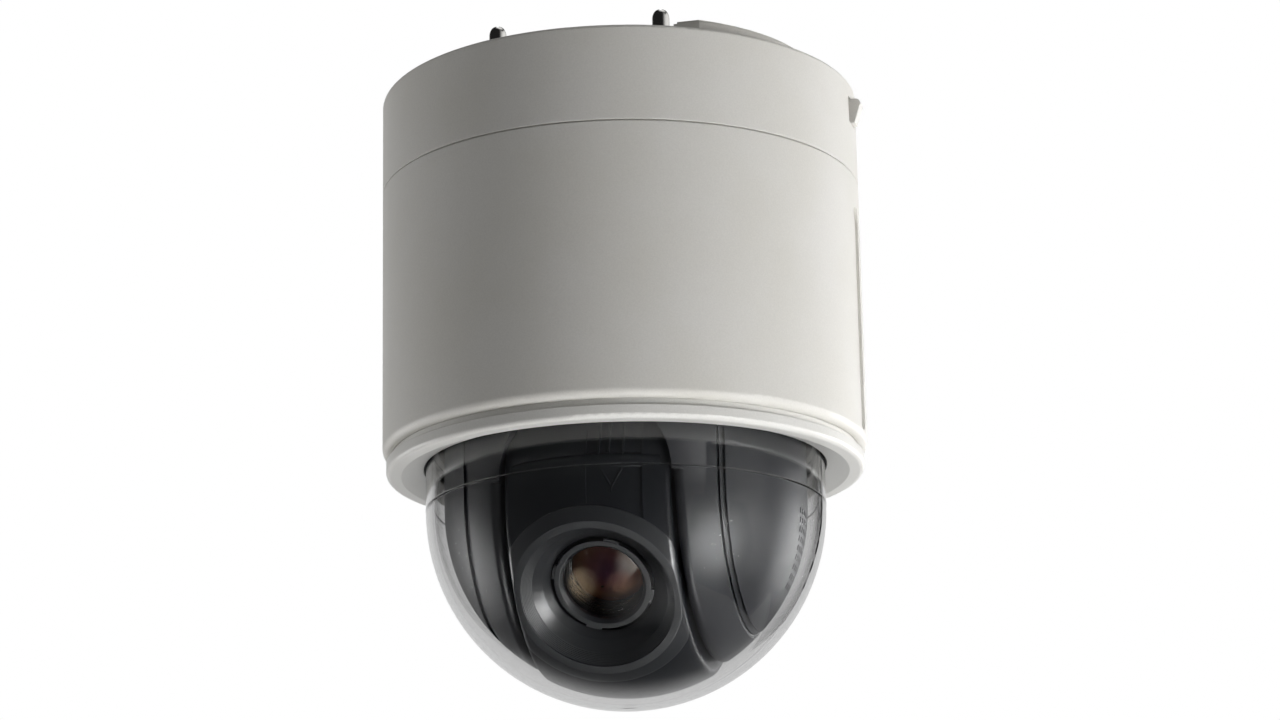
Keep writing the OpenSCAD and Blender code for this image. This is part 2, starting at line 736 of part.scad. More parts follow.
module base_plate() {
    color("#a9adb1") difference() {
        union() {
            translate([0, 0, base_z]) cylinder(r = base_r, h = base_t, $fn = 180);
            translate([0, 0, base_z]) cylinder(r = race_out + 5, h = race_top - base_z);
            around(main_post_ring, main_post_angles) translate([0, 0, base_top - eps]) cylinder(r = 3.2, h = main_board_z - base_top + eps);
            // ribs from the bearing boss to the rim
            for (a = [30:60:330]) if (abs(a - pan_motor_angle) > 1) rotate([0, 0, a])
                translate([race_out + 4, -1.2, base_top - eps]) cube([base_r - race_out - 12, 2.4, race_top - base_top]);
        }
        translate([0, 0, base_z - cut]) cylinder(r = race_out - 2.8, h = 40);
        translate([0, 0, race_z]) cylinder(r = race_out + fit, h = 40);
        around(boss_ring, chassis_angles) translate([0, 0, base_z - cut]) cylinder(r = screw_r + 0.1, h = 30);
        around(boss_ring, cover_angles) {
            translate([0, 0, base_z - cut]) cylinder(r = boss_r + 1, h = 30);
            translate([0, -boss_r - 1, base_z - cut]) cube([20, 2 * boss_r + 2, 30]);
        }
        around(main_post_ring, main_post_angles) translate([0, 0, main_board_z - 9]) cylinder(r = tap_r, h = 20);
        around(race_out + 2.6, [0, 90, 180, 270]) translate([0, 0, race_top - 6]) cylinder(r = 1.05, h = 20);
        // the pinion's hole and the motor's two screws
        rotate([0, 0, pan_motor_angle]) translate([pan_centre, 0, base_z - cut]) cylinder(r = pan_pinion_r + 2, h = 20);
        pan_motor_screw_places() translate([0, 0, base_z - cut]) cylinder(r = tap_r, h = 20);
        // lightening windows
        for (a = [0, 60, 180, 240, 300]) rotate([0, 0, a]) translate([0, 0, base_z - cut]) linear_extrude(base_t + 2 * cut)
            translate([44, 0]) circle(r = 8);
    }
}

module bearing_retainer() {
    color("#b9bdc1") {
        difference() {
            translate([0, 0, race_top]) ring(race_out + 5, race_out - 2.4, retainer_t);
            around(race_out + 2.6, [0, 90, 180, 270]) translate([0, 0, race_top - cut]) cylinder(r = 1.1, h = 10);
        }
        around(race_out + 2.6, [0, 90, 180, 270]) {
            translate([0, 0, race_top + retainer_t]) cylinder(r = 1.9, h = 1.2);
            translate([0, 0, race_top - 5]) cylinder(r = 1, h = 5 + retainer_t + eps);
        }
    }
}

module race(outer, inner) {
    rotate_extrude() difference() {
        translate([inner, race_z]) square([outer - inner, race_w]);
        translate([ball_track_r, race_z + race_w / 2]) circle(r = ball_bearing_r + run_fit, $fn = 48);
    }
}

module pan_bearing_outer() { color("#c9ccd0") race(race_out, race_out - race_wall); }
module pan_bearing_inner() { color("#c9ccd0") race(race_in + race_wall, race_in + fit); }
module pan_bearing_balls() {
    color("#dfe2e5") around(ball_track_r, [for (i = [0:15]) i * 22.5])
        translate([0, 0, race_z + race_w / 2]) sphere(r = ball_bearing_r, $fn = 32);
}

motor_r = 16.8;
motor_len = 18;
pan_motor_ear = 22;

module pan_motor_screw_places() {
    rotate([0, 0, pan_motor_angle]) translate([pan_centre, 0, 0])
        for (s = [-1, 1]) translate([0, s * pan_motor_ear, 0]) children();
}

// Round stepper motor standing on the chassis, its shaft pointing down through the plate
module pan_motor() {
    color("#7d8186") {
        rotate([0, 0, pan_motor_angle]) translate([pan_centre, 0, base_top]) {
            translate([0, 0, 1.5]) cylinder(r = motor_r, h = motor_len);
            difference() {
                union() {
                    cylinder(r = motor_r, h = 1.5 + eps);
                    translate([-5, -pan_motor_ear, 0]) cube([10, 2 * pan_motor_ear, 1.5]);
                    for (s = [-1, 1]) translate([0, s * pan_motor_ear, 0]) cylinder(r = 5, h = 1.5);
                }
                for (s = [-1, 1]) translate([0, s * pan_motor_ear, -cut]) cylinder(r = screw_r + 0.1, h = 10);
            }
            translate([0, 0, -base_t - plate_gap - gear_t]) cylinder(r = 2.5, h = base_t + plate_gap + gear_t + eps);
            translate([0, 0, 1.5 + motor_len - eps]) cylinder(r = 5, h = 1.2);
        }
        pan_motor_screw_places() translate([0, 0, base_top + 1.5]) small_screw(5);
    }
}

module pan_pinion() {
    color("#e8e2c8") rotate([0, 0, pan_motor_angle]) translate([pan_centre, 0, gear_z - 0.5]) difference() {
        union() {
            rotate([0, 0, 180 + 180 / pinion_teeth]) linear_extrude(gear_t + 1) gear_outline(pan_module, pinion_teeth);
            translate([0, 0, gear_t + 1 - eps]) cylinder(r = 4.6, h = 1);
        }
        translate([0, 0, -cut]) cylinder(r = 2.5 + run_fit, h = gear_t + 4);
    }
}

ring_feet_h = 4.5;
stator_z = race_top + retainer_t + ring_feet_h;
capsule_len = 22;

// Slip ring: the fixed capsule hangs in the hollow hub and its flange stands on the bearing retainer
module slip_ring_stator() {
    color("#3c3f44") difference() {
        union() {
            translate([0, 0, stator_z]) cylinder(r = race_out + 4, h = 2);
            translate([0, 0, stator_z - capsule_len]) cylinder(r = neck_bore - 1, h = capsule_len + eps);
            around(race_out + 0.6, [45, 165, 285]) translate([0, 0, stator_z - ring_feet_h]) cylinder(r = 1.8, h = ring_feet_h + eps);
            translate([0, 0, stator_z + 2 - eps]) cylinder(r = 6, h = 5);
        }
        translate([0, 0, stator_z - capsule_len - cut]) cylinder(r = 3.5 + run_fit, h = capsule_len - 4 + cut);
        translate([0, 0, stator_z]) cylinder(r = 3, h = 20);
    }
}

// ---------- turntable ----------

module slip_ring_rotor() {
    color("#b08d57") {
        translate([0, 0, deck_z + 2]) cylinder(r = neck_bore - 0.1, h = 2);
        translate([0, 0, deck_z + 2]) cylinder(r = 3.5, h = stator_z - 5 - deck_z - 2);
    }
}

module hub_nut() {
    color("#c9ccd0") translate([0, 0, race_top]) difference() {
        ring(race_in + 2.6, race_in + fit, nut_h);
        for (a = [0, 90]) rotate([0, 0, a]) translate([-20, -1.5, nut_h - 2]) cube([40, 3, 4]);
    }
}

gear_screw_ring = 24;
arm_screw_y = [-11, 11];
arm_screw_x = arm_x + arm_t / 2 + 6;
rib_r = pan_centre + pan_pinion_r + 2;

module arm_screw_places() {
    for (x = [-1, 1], y = arm_screw_y) translate([x * arm_screw_x, y, 0]) children();
}

module turntable() {
    color("#8d9196") difference() {
        union() {
            translate([0, 0, deck_z]) cylinder(r = liner_r - 0.6, h = deck_t, $fn = 180);
            translate([0, 0, deck_z]) cylinder(r = gear_screw_ring + 5, h = deck_t + gear_pad);
            translate([0, 0, deck_z]) cylinder(r = neck_low_r, h = race_z - deck_z);
            translate([0, 0, deck_z]) cylinder(r = race_in, h = race_top + nut_h - deck_z);
            // stiffening ribs on top of the deck, outside the gear
            for (a = [15:30:345]) rotate([0, 0, a])
                translate([rib_r, -1, deck_top - eps]) cube([liner_r - 3 - rib_r, 2, 1.4]);
        }
        translate([0, 0, deck_z + 2]) cylinder(r = neck_bore, h = 60);
        translate([0, 0, deck_z - cut]) cylinder(r = neck_bore - 2, h = 60);
        around(gear_screw_ring, [45, 135, 225, 315]) translate([0, 0, deck_z - cut]) cylinder(r = tap_r, h = 20);
        arm_screw_places() {
            translate([0, 0, deck_z - cut]) cylinder(r = screw_r + 0.1, h = 20);
            translate([0, 0, deck_top - screw_head_h - 0.1]) cylinder(r = screw_head_r + 0.3, h = 20);
        }
        around(liner_screw_ring, liner_screw_angles) translate([0, 0, deck_z - cut]) cylinder(r = screw_r + 0.1, h = 20);
    }
}

liner_screw_ring = liner_inner - 4.5;
liner_screw_angles = [90, 270, 20, 160, 200, 340];

module pan_gear() {
    color("#ece6cf") translate([0, 0, gear_z]) difference() {
        linear_extrude(gear_t) difference() {
            rotate(pan_motor_angle) gear_outline(pan_module, pan_teeth);
            circle(r = neck_low_r + fit);
            for (a = [45, 135, 225, 315]) rotate(a) translate([gear_screw_ring, 0]) circle(r = screw_r + 0.1);
        }
        // recessed web
        translate([0, 0, gear_t - 1.5]) ring(pan_pitch_r - 4, gear_screw_ring + 4.5, 3);
        around(gear_screw_ring, [45, 135, 225, 315]) translate([0, 0, gear_t - 2]) cylinder(r = screw_head_r + 0.3, h = 5);
    }
}

module deck_screws() {
    color("#9a9da1") {
        arm_screw_places() translate([0, 0, deck_top - screw_head_h - 0.1]) small_screw(deck_t + arm_foot - 2.5);
        around(gear_screw_ring, [45, 135, 225, 315]) translate([0, 0, gear_z + gear_t - 2]) small_screw(gear_t);
        around(liner_screw_ring, liner_screw_angles) translate([0, 0, deck_top]) small_screw(deck_t + liner_flange_t);
    }
}

// One arm of the yoke on the +X side, as a plate with a foot under the deck and a round lower end
module yoke_arm() {
    difference() {
        union() {
            translate([arm_x, 0, 0]) rotate([90, 0, 90]) linear_extrude(arm_t) {
                translate([-arm_half, tilt_z]) square([2 * arm_half, deck_z - tilt_z]);
                translate([0, tilt_z]) circle(r = arm_half);
            }
            translate([arm_x, -arm_half, deck_z - arm_foot]) cube([16, 2 * arm_half, arm_foot]);
            // ribs along both edges of the plate
            for (s = [-1, 1]) translate([arm_x + arm_t - eps, s * (arm_half - 1) - 1, tilt_z + 42])
                cube([2.4, 2, deck_z - tilt_z - 42]);
            translate([0, 0, tilt_z]) x_rod(bush_r + 3, arm_x, arm_x + arm_t + 0.6);
        }
        translate([0, 0, tilt_z]) x_rod(bush_r + fit, arm_x - cut, arm_x + arm_t + 2);
        arm_screw_places() translate([0, 0, deck_z - 10]) cylinder(r = tap_r, h = 20);
        translate([arm_x - cut, 0, deck_z - 16]) rotate([90, 0, 90]) linear_extrude(arm_t + 2 * cut)
            bar(12, 14);
    }
}

module yoke_arm_left() {
    color("#55595e") difference() {
        on_side(1) yoke_arm();
        tilt_bracket_places() x_rod(tap_r, -arm_x - arm_t - cut, -arm_x + cut);
    }
}

module yoke_arm_right() {
    color("#55595e") difference() {
        union() {
            yoke_arm();
            // plate that carries the fan
            translate([arm_x + arm_t - 2, fan_y - fan_size / 2, fan_z - fan_size / 2]) cube([2, fan_size, fan_size]);
            for (y = [-1, 1], z = [-1, 1]) translate([0, fan_y + y * fan_hole, fan_z + z * fan_hole])
                x_rod(2.4, arm_x + arm_t - eps, fan_x);
        }
        translate([0, 0, tilt_z]) x_rod(bush_r + fit, arm_x - cut, arm_x + arm_t + 2);
        for (y = [-1, 1], z = [-1, 1]) translate([0, fan_y + y * fan_hole, fan_z + z * fan_hole])
            x_rod(1, arm_x, fan_x + cut);
    }
}

fan_hole = fan_size / 2 - 2.2;

// ---------- liner ----------

// Outer form of the liner, drawn in by inset: a half sphere below a straight cylinder
module liner_body(inset) {
    translate([0, 0, centre_z]) sphere(r = liner_r - inset, $fn = 180);
    translate([0, 0, centre_z]) cylinder(r = liner_r - inset, h = deck_z - centre_z, $fn = 180);
}

arch_z = centre_z + arch_rise - slot_half;
arch_depth = 7;
arch_play = 0.5;

// The slot: it runs from an arch in front, underneath, and up to the same arch behind, widened by grow
module slot_cutter(grow) {
    half = slot_half + grow;
    translate([0, 0, arch_z]) rotate([90, 0, 0]) cylinder(r = half, h = 200, center = true, $fn = 128);
    translate([-half, -100, centre_z - 100]) cube([2 * half, 200, arch_z - centre_z + 100]);
}

module centre_shroud() {
    color("#2c2d31") difference() {
        union() {
            difference() {
                intersection() {
                    liner_body(0);
                    translate([-side_seam, -100, centre_z - 100]) cube([2 * side_seam, 200, 300]);
                }
                intersection() {
                    liner_body(liner_wall);
                    translate([0, 0, deck_z - liner_flange_t - 200]) cylinder(r = 200, h = 200);
                }
                translate([0, 0, deck_z - 10]) cylinder(r = liner_inner - liner_flange, h = 20);
                slot_cutter(0);
            }
            for (side = [-1, 1]) on_side(side) slot_wall();
            arch_return();
        }
        for (side = [-1, 1]) on_side(side) slot_edge();
        around(liner_screw_ring, [90, 270]) translate([0, 0, deck_z - 10]) cylinder(r = tap_r, h = 20);
    }
}

// Deep return inside each arch, joined to the flat walls and hollowed to clear the turning head
module arch_return() {
    difference() {
        intersection() {
            slot_cutter(shroud_wall);
            liner_body(0);
            translate([0, 0, arch_z]) cylinder(r = 100, h = 100);
        }
        slot_cutter(0);
        cylinder(r = liner_r - arch_depth, h = 400, center = true, $fn = 180);
        translate([0, 0, tilt_z]) sphere(r = ball_r + bead_rise + arch_play, $fn = 180);
    }
}

// Rounds the slot's edge on the half sphere: a cutter turned about X
module slot_edge() {
    edge_x = slot_half + slot_round;
    edge_c = sqrt(pow(liner_r - slot_round, 2) - pow(edge_x, 2));
    lean = atan2(edge_x, edge_c);
    reach = 2 * slot_round;
    translate([0, 0, centre_z]) rotate([0, 90, 0]) rotate([0, 0, -90]) rotate_extrude(angle = 180, $fn = 180)
        translate([edge_c, edge_x]) difference() {
            polygon([[0, 0], [0, -reach], [reach, -reach], 1.3 * reach * [cos(lean), sin(lean)]]);
            circle(r = slot_round, $fn = 64);
        }
}

// Flat wall beside the head, open round the trunnion
module slot_wall() {
    difference() {
        intersection() {
            liner_body(liner_wall / 2);
            translate([slot_half, -100, centre_z - 100])
                cube([shroud_wall, 200, 100 + deck_z - liner_flange_t - centre_z + eps]);
        }
        translate([0, 0, tilt_z]) x_rod(trunnion_r + 1, 0, 60);
        translate([slot_half - cut, -12, tilt_z]) cube([shroud_wall + 2 * cut, 24, 300]);
    }
}

module side_cover() {
    difference() {
        intersection() {
            liner_body(0);
            translate([side_seam + seam_play, -100, centre_z - 100]) cube([100, 200, 100 + deck_z - centre_z]);
        }
        intersection() {
            liner_body(liner_wall);
            translate([0, 0, deck_z - liner_flange_t - 200]) cylinder(r = 200, h = 200);
        }
        // shallow step along the seam
        difference() {
            translate([side_seam - 10, -100, centre_z - 100]) cube([10 + seam_step_w, 200, 300]);
            liner_body(seam_step_d);
        }
        translate([0, 0, deck_z - 10]) cylinder(r = liner_inner - liner_flange, h = 20);
        around(liner_screw_ring, [20, 340]) translate([0, 0, deck_z - 10]) cylinder(r = tap_r, h = 20);
    }
}

module side_cover_left() { color("#2c2d31") on_side(1) side_cover(); }

// The right cover has a slanted block of fine ventilation slots over the fan
module side_cover_right() {
    color("#2c2d31") difference() {
        side_cover();
        for (row = [0:vent_rows - 1], col = [0:vent_cols - 1])
            translate([0, vent_front + row * vent_lean + col * vent_pitch, vent_top - row * vent_drop])
                translate([40, 0, 0]) rotate([90, 0, 90]) linear_extrude(40) bar(vent_w, vent_len);
    }
}

vent_front = -8;
vent_top = centre_z - 6;
vent_drop = 3;
vent_lean = 0.9;
vent_pitch = 2.7;
vent_w = 1.1;
vent_len = 2.1;

// ---------- tilt drive ----------

// A bush in each yoke arm, with its flange towards the head
module tilt_bush() {
    translate([0, 0, tilt_z]) difference() {
        union() {
            x_rod(bush_r, arm_x - 0.8, arm_x + arm_t + 0.8);
            x_rod(bush_r + 2, arm_x - 1.8, arm_x - fit);
        }
        x_rod(axle_r + run_fit, arm_x - 5, arm_x + 20);
    }
}

module tilt_bushes() {
    color("#c7b37a") {
        tilt_bush();
        on_side(1) tilt_bush();
    }
}

bracket_x = gear_x + tilt_gear_t + 0.8;
bracket_t = 1.6;
bracket_y = 13;
bracket_up = 4;
pinion_z = tilt_z + tilt_centre;
tilt_motor_r = 9;

module tilt_bracket_places() {
    for (s = [-1, 1]) translate([0, s * bracket_y, pinion_z + bracket_up]) children();
}

// Motor plate on two pillars outside the left arm
module tilt_bracket() {
    color("#b9bdc1") {
        difference() {
            translate([-bracket_x - bracket_t, 0, 0]) rotate([90, 0, 90]) linear_extrude(bracket_t) {
                translate([0, pinion_z]) circle(r = tilt_motor_r);
                translate([-bracket_y, pinion_z + bracket_up - 4]) square([2 * bracket_y, 8]);
                for (s = [-1, 1]) translate([s * bracket_y, pinion_z + bracket_up]) circle(r = 4);
            }
            translate([0, 0, pinion_z]) x_rod(3, -60, -30);
        }
        tilt_bracket_places() {
            x_rod(2.4, -bracket_x, -arm_x - arm_t);
            x_rod(screw_r, -arm_x - arm_t - 1, -arm_x + 0.3);
        }
    }
}

module tilt_motor() {
    color("#7d8186") translate([0, 0, pinion_z]) {
        x_rod(tilt_motor_r, -bracket_x - bracket_t - 10, -bracket_x - bracket_t);
        x_rod(2.9, -bracket_x - bracket_t - eps, -bracket_x - 0.4);
        x_rod(1, -bracket_x - 1, -gear_x + 0.5);
    }
}

module tilt_pinion() {
    color("#e8e2c8") translate([-gear_x - tilt_gear_t, 0, pinion_z]) rotate([0, 90, 0]) difference() {
        rotate([0, 0, 180 / pinion_teeth]) linear_extrude(tilt_gear_t) gear_outline(tilt_module, pinion_teeth);
        translate([0, 0, -cut]) cylinder(r = 1 + run_fit, h = tilt_gear_t + 2 * cut);
    }
}

module fan_frame() {
    color("#1e1f22") translate([fan_x, fan_y, fan_z]) rotate([90, 0, 90]) {
        difference() {
            translate([-fan_size / 2, -fan_size / 2, 0]) cube([fan_size, fan_size, fan_t]);
            translate([0, 0, -cut]) cylinder(r = fan_bore, h = fan_t + 2 * cut);
            for (y = [-1, 1], z = [-1, 1]) translate([y * fan_hole, z * fan_hole, -cut])
                cylinder(r = 1.1, h = fan_t + 2 * cut);
        }
        difference() {
            union() {
                cylinder(r = 5.4, h = 1.4);
                for (a = [45, 165, 285]) rotate([0, 0, a]) translate([4, -0.9, 0]) cube([fan_bore - 3.5, 1.8, 1.2]);
            }
            translate([0, 0, 0.5]) cylinder(r = 1 + run_fit, h = 10);
        }
    }
}

// Fan wheel: a cup with seven raked blades and a pin in the frame's middle
module fan_rotor() {
    color("#26272b") translate([fan_x, fan_y, fan_z]) rotate([90, 0, 90]) {
        translate([0, 0, 0.55]) cylinder(r = 1, h = 3);
        translate([0, 0, 1.7]) cylinder(r = 5, h = fan_t - 2);
        for (i = [0:6]) rotate([0, 0, i * 360 / 7]) translate([4.6, 0, fan_t / 2 + 0.7]) rotate([35, 0, 0])
            translate([0, -0.4, -2]) cube([5.8, 0.8, 4]);
    }
}

// ---------- camera head ----------

front_low = -95;
front_high = 118;
rear_r = 50;
head_round = 3;
band_t = 2.6;
channel_x = 10.5;
channel_w = 18;
channel_d = 0.6;
channel_top = 92;
bead_angle = 47;
bead_r = 3;
bead_rise = 0.6;
rib_places = [5.7, 9, 13.6];
rib_w = 0.6;
mark_x = 9.8;
mark_angle = 41;

// A crowned rim of radius r with rounded corners and flat sides, as (distance from the tilt axis, x)
module drum_solid(r, half, round) {
    centre = sqrt(pow(r - round, 2) - pow(half - round, 2));
    lean = atan2(half - round, centre);
    reach = 2 * round;
    difference() {
        intersection() {
            circle(r = r, $fn = 256);
            translate([0, -half]) square([r + cut, 2 * half]);
        }
        for (side = [0, 1]) mirror([0, side]) translate([centre, half - round]) difference() {
            polygon([[0, 0], [0, reach], [reach, reach], 1.4 * reach * [cos(lean), sin(lean)]]);
            circle(r = round, $fn = 64);
        }
    }
}

// Flat outline of a shell turned about the tilt axis
module drum_outline(r) {
    difference() {
        drum_solid(r, head_half, head_round);
        drum_solid(r - head_wall, head_half - head_wall, head_round - head_wall);
        translate([-cut, -50]) square([12 + cut, 100]);
    }
}

module head_front_shell() {
    color("#2a2b2f") at_head() difference() {
        union() {
            difference() {
                head_sweep(front_low, front_high) drum_outline(ball_r);
                // shallow channel beside the middle, above the lens
                head_sweep(20, channel_top) difference() {
                    translate([ball_r - 6, channel_x - channel_w / 2]) square([12, channel_w]);
                    circle(r = ball_r - channel_d, $fn = 256);
                }
            }
            // end walls that the rear shell butts against
            for (a = [front_low, front_high - 2]) head_sweep(a, a + 2) intersection() {
                drum_solid(ball_r - head_wall / 2, head_half - head_wall / 2, head_round - head_wall / 2);
                translate([rear_r - 3, -head_half]) square([ball_r - rear_r + 3, 2 * head_half]);
            }
            // soft brow across the shell, above the lens
            rotate([-bead_angle, 0, 0]) rotate([0, 0, -90 - brow_half]) rotate_extrude(angle = 2 * brow_half)
                translate([ball_r + bead_rise - bead_r, 0]) circle(r = bead_r);
            for (x = rib_places) head_sweep(bead_angle, channel_top)
                translate([ball_r - 1.8, x - rib_w / 2]) square([sqrt(pow(ball_r, 2) - pow(x, 2)) + 2.1 - ball_r, rib_w]);
            level_mark();
        }
        // flat face that the lens hood sits on
        translate([-100, band_t - ring_s - 200, -100]) cube(200);
        trunnion_screw_places() x_rod(tap_r, -60, 60);
    }
}

// A small raised V below the brow
module level_mark() {
    intersection() {
        rotate([-mark_angle, 0, 0]) translate([mark_x, 0, 0]) rotate([90, 0, 0]) linear_extrude(100) {
            for (side = [-1, 1]) polygon([
                [0, -3.2], [0, -2.5], [side * 3.2, 3.2], [side * 3.7, 3.2], [side * 0.3, -3.2]
            ]);
            translate([-0.2, -5]) square([0.4, 2]);
        }
        difference() {
            sphere(r = ball_r - channel_d + 0.2, $fn = 256);
            sphere(r = ball_r - channel_d - 0.4, $fn = 256);
        }
    }
}

hood_spigot_r = head_half - head_wall - 0.2;
brow_half = asin((head_half - head_round) / ball_r);

module trunnion_screw_places() {
    for (a = [0, 120, 240]) rotate([a + 60, 0, 0]) translate([0, 0, 14.5]) children();
}

module head_rear_shell() {
    color("#2a2b2f") at_head() difference() {
        head_sweep(front_high + 0.3, front_low + 360 - 0.3) drum_outline(rear_r);
        trunnion_screw_places() x_rod(tap_r, -60, 60);
        // a row of cooling slits at the back
        for (i = [-3:3]) translate([i * 6 - 1, rear_r - 10, -9]) cube([2, 20, 18]);
    }
}

// Lens hood: a flat outer band and a funnel with fine turned grooves
module lens_hood() {
    mouth = head_half - ring_band;
    back = ring_s - band_t;
    color("#232428") at_head() difference() {
        union() {
            // collar that carries on the ball's form
            intersection() {
                head_sweep(-40, 40) drum_solid(ball_r, head_half, head_round);
                translate([-100, -ring_s, -100]) cube([200, band_t, 200]);
            }
            s_rod(hood_spigot_r, hood_back, back + eps);
        }
        lens_turn() {
            // the dish, with a short step at its mouth
            polygon([
                [0, hood_back - cut], [funnel_r, hood_back - cut], [funnel_r, hood_back],
                [funnel_r + 2.2, hood_back + 2.9], [mouth - 2.9, ring_s - 3.7], [mouth - 0.3, ring_s - 0.9],
                [mouth, ring_s - 0.9], [mouth, ring_s + cut], [0, ring_s + cut]
            ]);
            // fine turned grooves along the dish
            for (i = [0:funnel_grooves - 1]) let (t = (i + 0.5) / funnel_grooves)
                translate([mouth - 0.3 - 2.6 * t, ring_s - 0.9 - 2.8 * t]) circle(r = 0.16, $fn = 16);
            // hollow behind the dish
            polygon([
                [hood_spigot_r - 2, hood_back - cut], [hood_spigot_r - 2, ring_s - 7], [funnel_r + 4, hood_back - cut]
            ]);
        }
    }
}

// Retaining ring in front of the glass, with four short bayonet lugs
module bezel_ring() {
    seat = hood_back - 3;
    front = hood_back + 0.8;
    color("#17181a") at_head() {
        lens_turn() difference() {
            translate([glass_r, seat]) square([2.8, front - seat]);
            translate([glass_r - cut, seat - cut]) square([glass_edge - glass_r + 0.1 + cut, glass_lift + cut]);
            polygon([[glass_r - cut, front - 1.4], [glass_r, front - 1.4], [glass_r + 1.4, front + cut / 2], [glass_r - cut, front + cut]]);
        }
        for (a = [20, 110, 200, 290]) rotate([0, a, 0]) rotate([90, 0, 0]) rotate([0, 0, -9])
            rotate_extrude(angle = 18) translate([glass_r + 2.7, front - 1.4]) square([1, 1.2]);
    }
}

// Front lens, bulging forwards, with a flat ground edge
module front_glass() {
    color("#3a2f4a", 0.6) at_head() lens_turn() lens_outline(glass_edge, hood_back - 4.6, 1.6, 26);
}

// Half outline of a lens: a flat ground edge from s0 and a bulging front of the given curve
module lens_outline(r, s0, edge, curve) {
    sag = curve - sqrt(pow(curve, 2) - pow(r, 2));
    translate([0, s0]) square([r, edge]);
    intersection() {
        translate([0, s0 + edge + sag - curve]) circle(r = curve, $fn = 128);
        translate([0, s0 + edge - eps]) square([r, sag + 1]);
    }
}

// Barrel with stepped light baffles behind the front glass
module lens_barrel() {
    front = hood_back - 3;
    step_s = (front - 1.6 - inner_seat - 5) / 5;
    color("#1c1d20") at_head() lens_turn() difference() {
        translate([0, barrel_back]) square([funnel_r - slide_fit, front - barrel_back]);
        translate([-cut, front - 1.6]) square([glass_edge + fit + cut, 10]);
        for (i = [0:4]) translate([-cut, front - 1.6 - step_s * (i + 1)])
            square([glass_r - 0.4 - 0.7 * i + cut, step_s + eps]);
        translate([-cut, inner_seat]) square([inner_glass_r + fit + cut, 10]);
        translate([-cut, barrel_back + 3]) square([inner_glass_r - 0.6 + cut, 20]);
        translate([-cut, barrel_back - cut]) square([6.5 + cut, 20]);
    }
}

inner_seat = 29.6;
inner_glass_r = 9.7;
glass_edge = glass_r + 0.8;
glass_lift = 0.6;

module inner_glass() {
    color("#5a3a4a", 0.6) at_head() lens_turn() lens_outline(inner_glass_r, inner_seat, 2.6, 14);
}

// Iris housing pressed into the barrel behind the inner lens
module iris_ring() {
    color("#101113") at_head() lens_turn()
        translate([4, inner_seat - 3]) square([inner_glass_r - 0.6 - fit - 4, 1.2]);
}

// Frame of the zoom block: front and rear plates joined by four rails, open at the sides
module zoom_chassis() {
    half = chassis_half;
    ear = head_half - head_wall - half;
    color("#2e3034") at_head() difference() {
        union() {
            translate([-half, -barrel_back, -half]) cube([2 * half, 3, 2 * half]);
            translate([-half, -chassis_back - 3, -half]) cube([2 * half, 3, 2 * half]);
            for (x = [-1, 1], w = [-1, 1]) translate([x * (half - 2) - 2, -barrel_back, w * (half - 2) - 2])
                cube([4, barrel_back - chassis_back, 4]);
            // ears that reach the head's side walls
            for (side = [0, 1]) mirror([side, 0, 0]) translate([half - eps, -barrel_back, -6]) cube([ear + eps, 8, 12]);
        }
        s_rod(8, barrel_back - 10, barrel_back + 10);
        s_rod(7, chassis_back - 10, chassis_back + 10);
        for (s = [-1, 1]) translate([s * rod_x, 0, -s * rod_w]) s_rod(rod_r + fit, chassis_back - 1, barrel_back + 1);
    }
}

module guide_rods() {
    color("#d5d8db") at_head() for (s = [-1, 1])
        translate([s * rod_x, 0, -s * rod_w]) s_rod(rod_r, chassis_back, barrel_back);
}

// A lens cell on an arm that slides on both rods, with its middle at s
module carriage(s, cell_r, thick) {
    arm = norm([rod_x, rod_w]);
    difference() {
        union() {
            s_rod(cell_r + 1.6, s - thick / 2, s + thick / 2);
            for (side = [-1, 1]) translate([side * rod_x, 0, -side * rod_w])
                s_rod(rod_r + 1.3, s - thick / 2 - 1, s + thick / 2 + 1);
            translate([0, -s, 0]) rotate([0, atan2(rod_w, rod_x), 0]) translate([-arm, -1, -2]) cube([2 * arm, 2, 4]);
        }
        s_rod(cell_r, s - thick, s + thick);
        for (side = [-1, 1]) translate([side * rod_x, 0, -side * rod_w]) s_rod(rod_r + run_fit, s - 20, s + 20);
    }
    // the lens in its cell
    s_rod(cell_r + eps, s - thick / 2 + 0.6, s + thick / 2 - 0.6);
}

zoom_s = 8;
focus_s = -20;

module zoom_group() { color("#3b3e44") at_head() carriage(zoom_s, 8, 4); }
module focus_group() { color("#3b3e44") at_head() carriage(focus_s, 7, 4); }

module sensor_board() {
    color("#1b4f38") at_head() {
        translate([-17, -chassis_back, -17]) cube([34, board_t, 34]);
        translate([-4.5, -chassis_back - 1.2, -4.5]) cube([9, 1.2 + eps, 9]);
        translate([-12, -chassis_back + board_t - eps, 8]) cube([24, 3, 5]);
    }
}

// Flanged stub axle on the +X side of the head
module trunnion(reach) {
    difference() {
        union() {
            x_rod(trunnion_r, head_half, head_half + trunnion_t);
            x_rod(13, head_half, arm_x - 2.2);
            x_rod(axle_r, head_half, reach);
            x_rod(11.9, head_half - head_wall, head_half + eps);
        }
        x_rod(2.5, 0, 80);
    }
    trunnion_screw_places() {
        x_rod(screw_r, head_half - head_wall, head_half + trunnion_t);
        x_rod(2.4, head_half + trunnion_t - eps, head_half + trunnion_t + 1.2);
    }
}

module trunnion_left() { color("#b9bdc1") at_head() on_side(1) trunnion(gear_x + tilt_gear_t + 0.4); }
module trunnion_right() { color("#b9bdc1") at_head() trunnion(arm_x + arm_t + 1.5); }

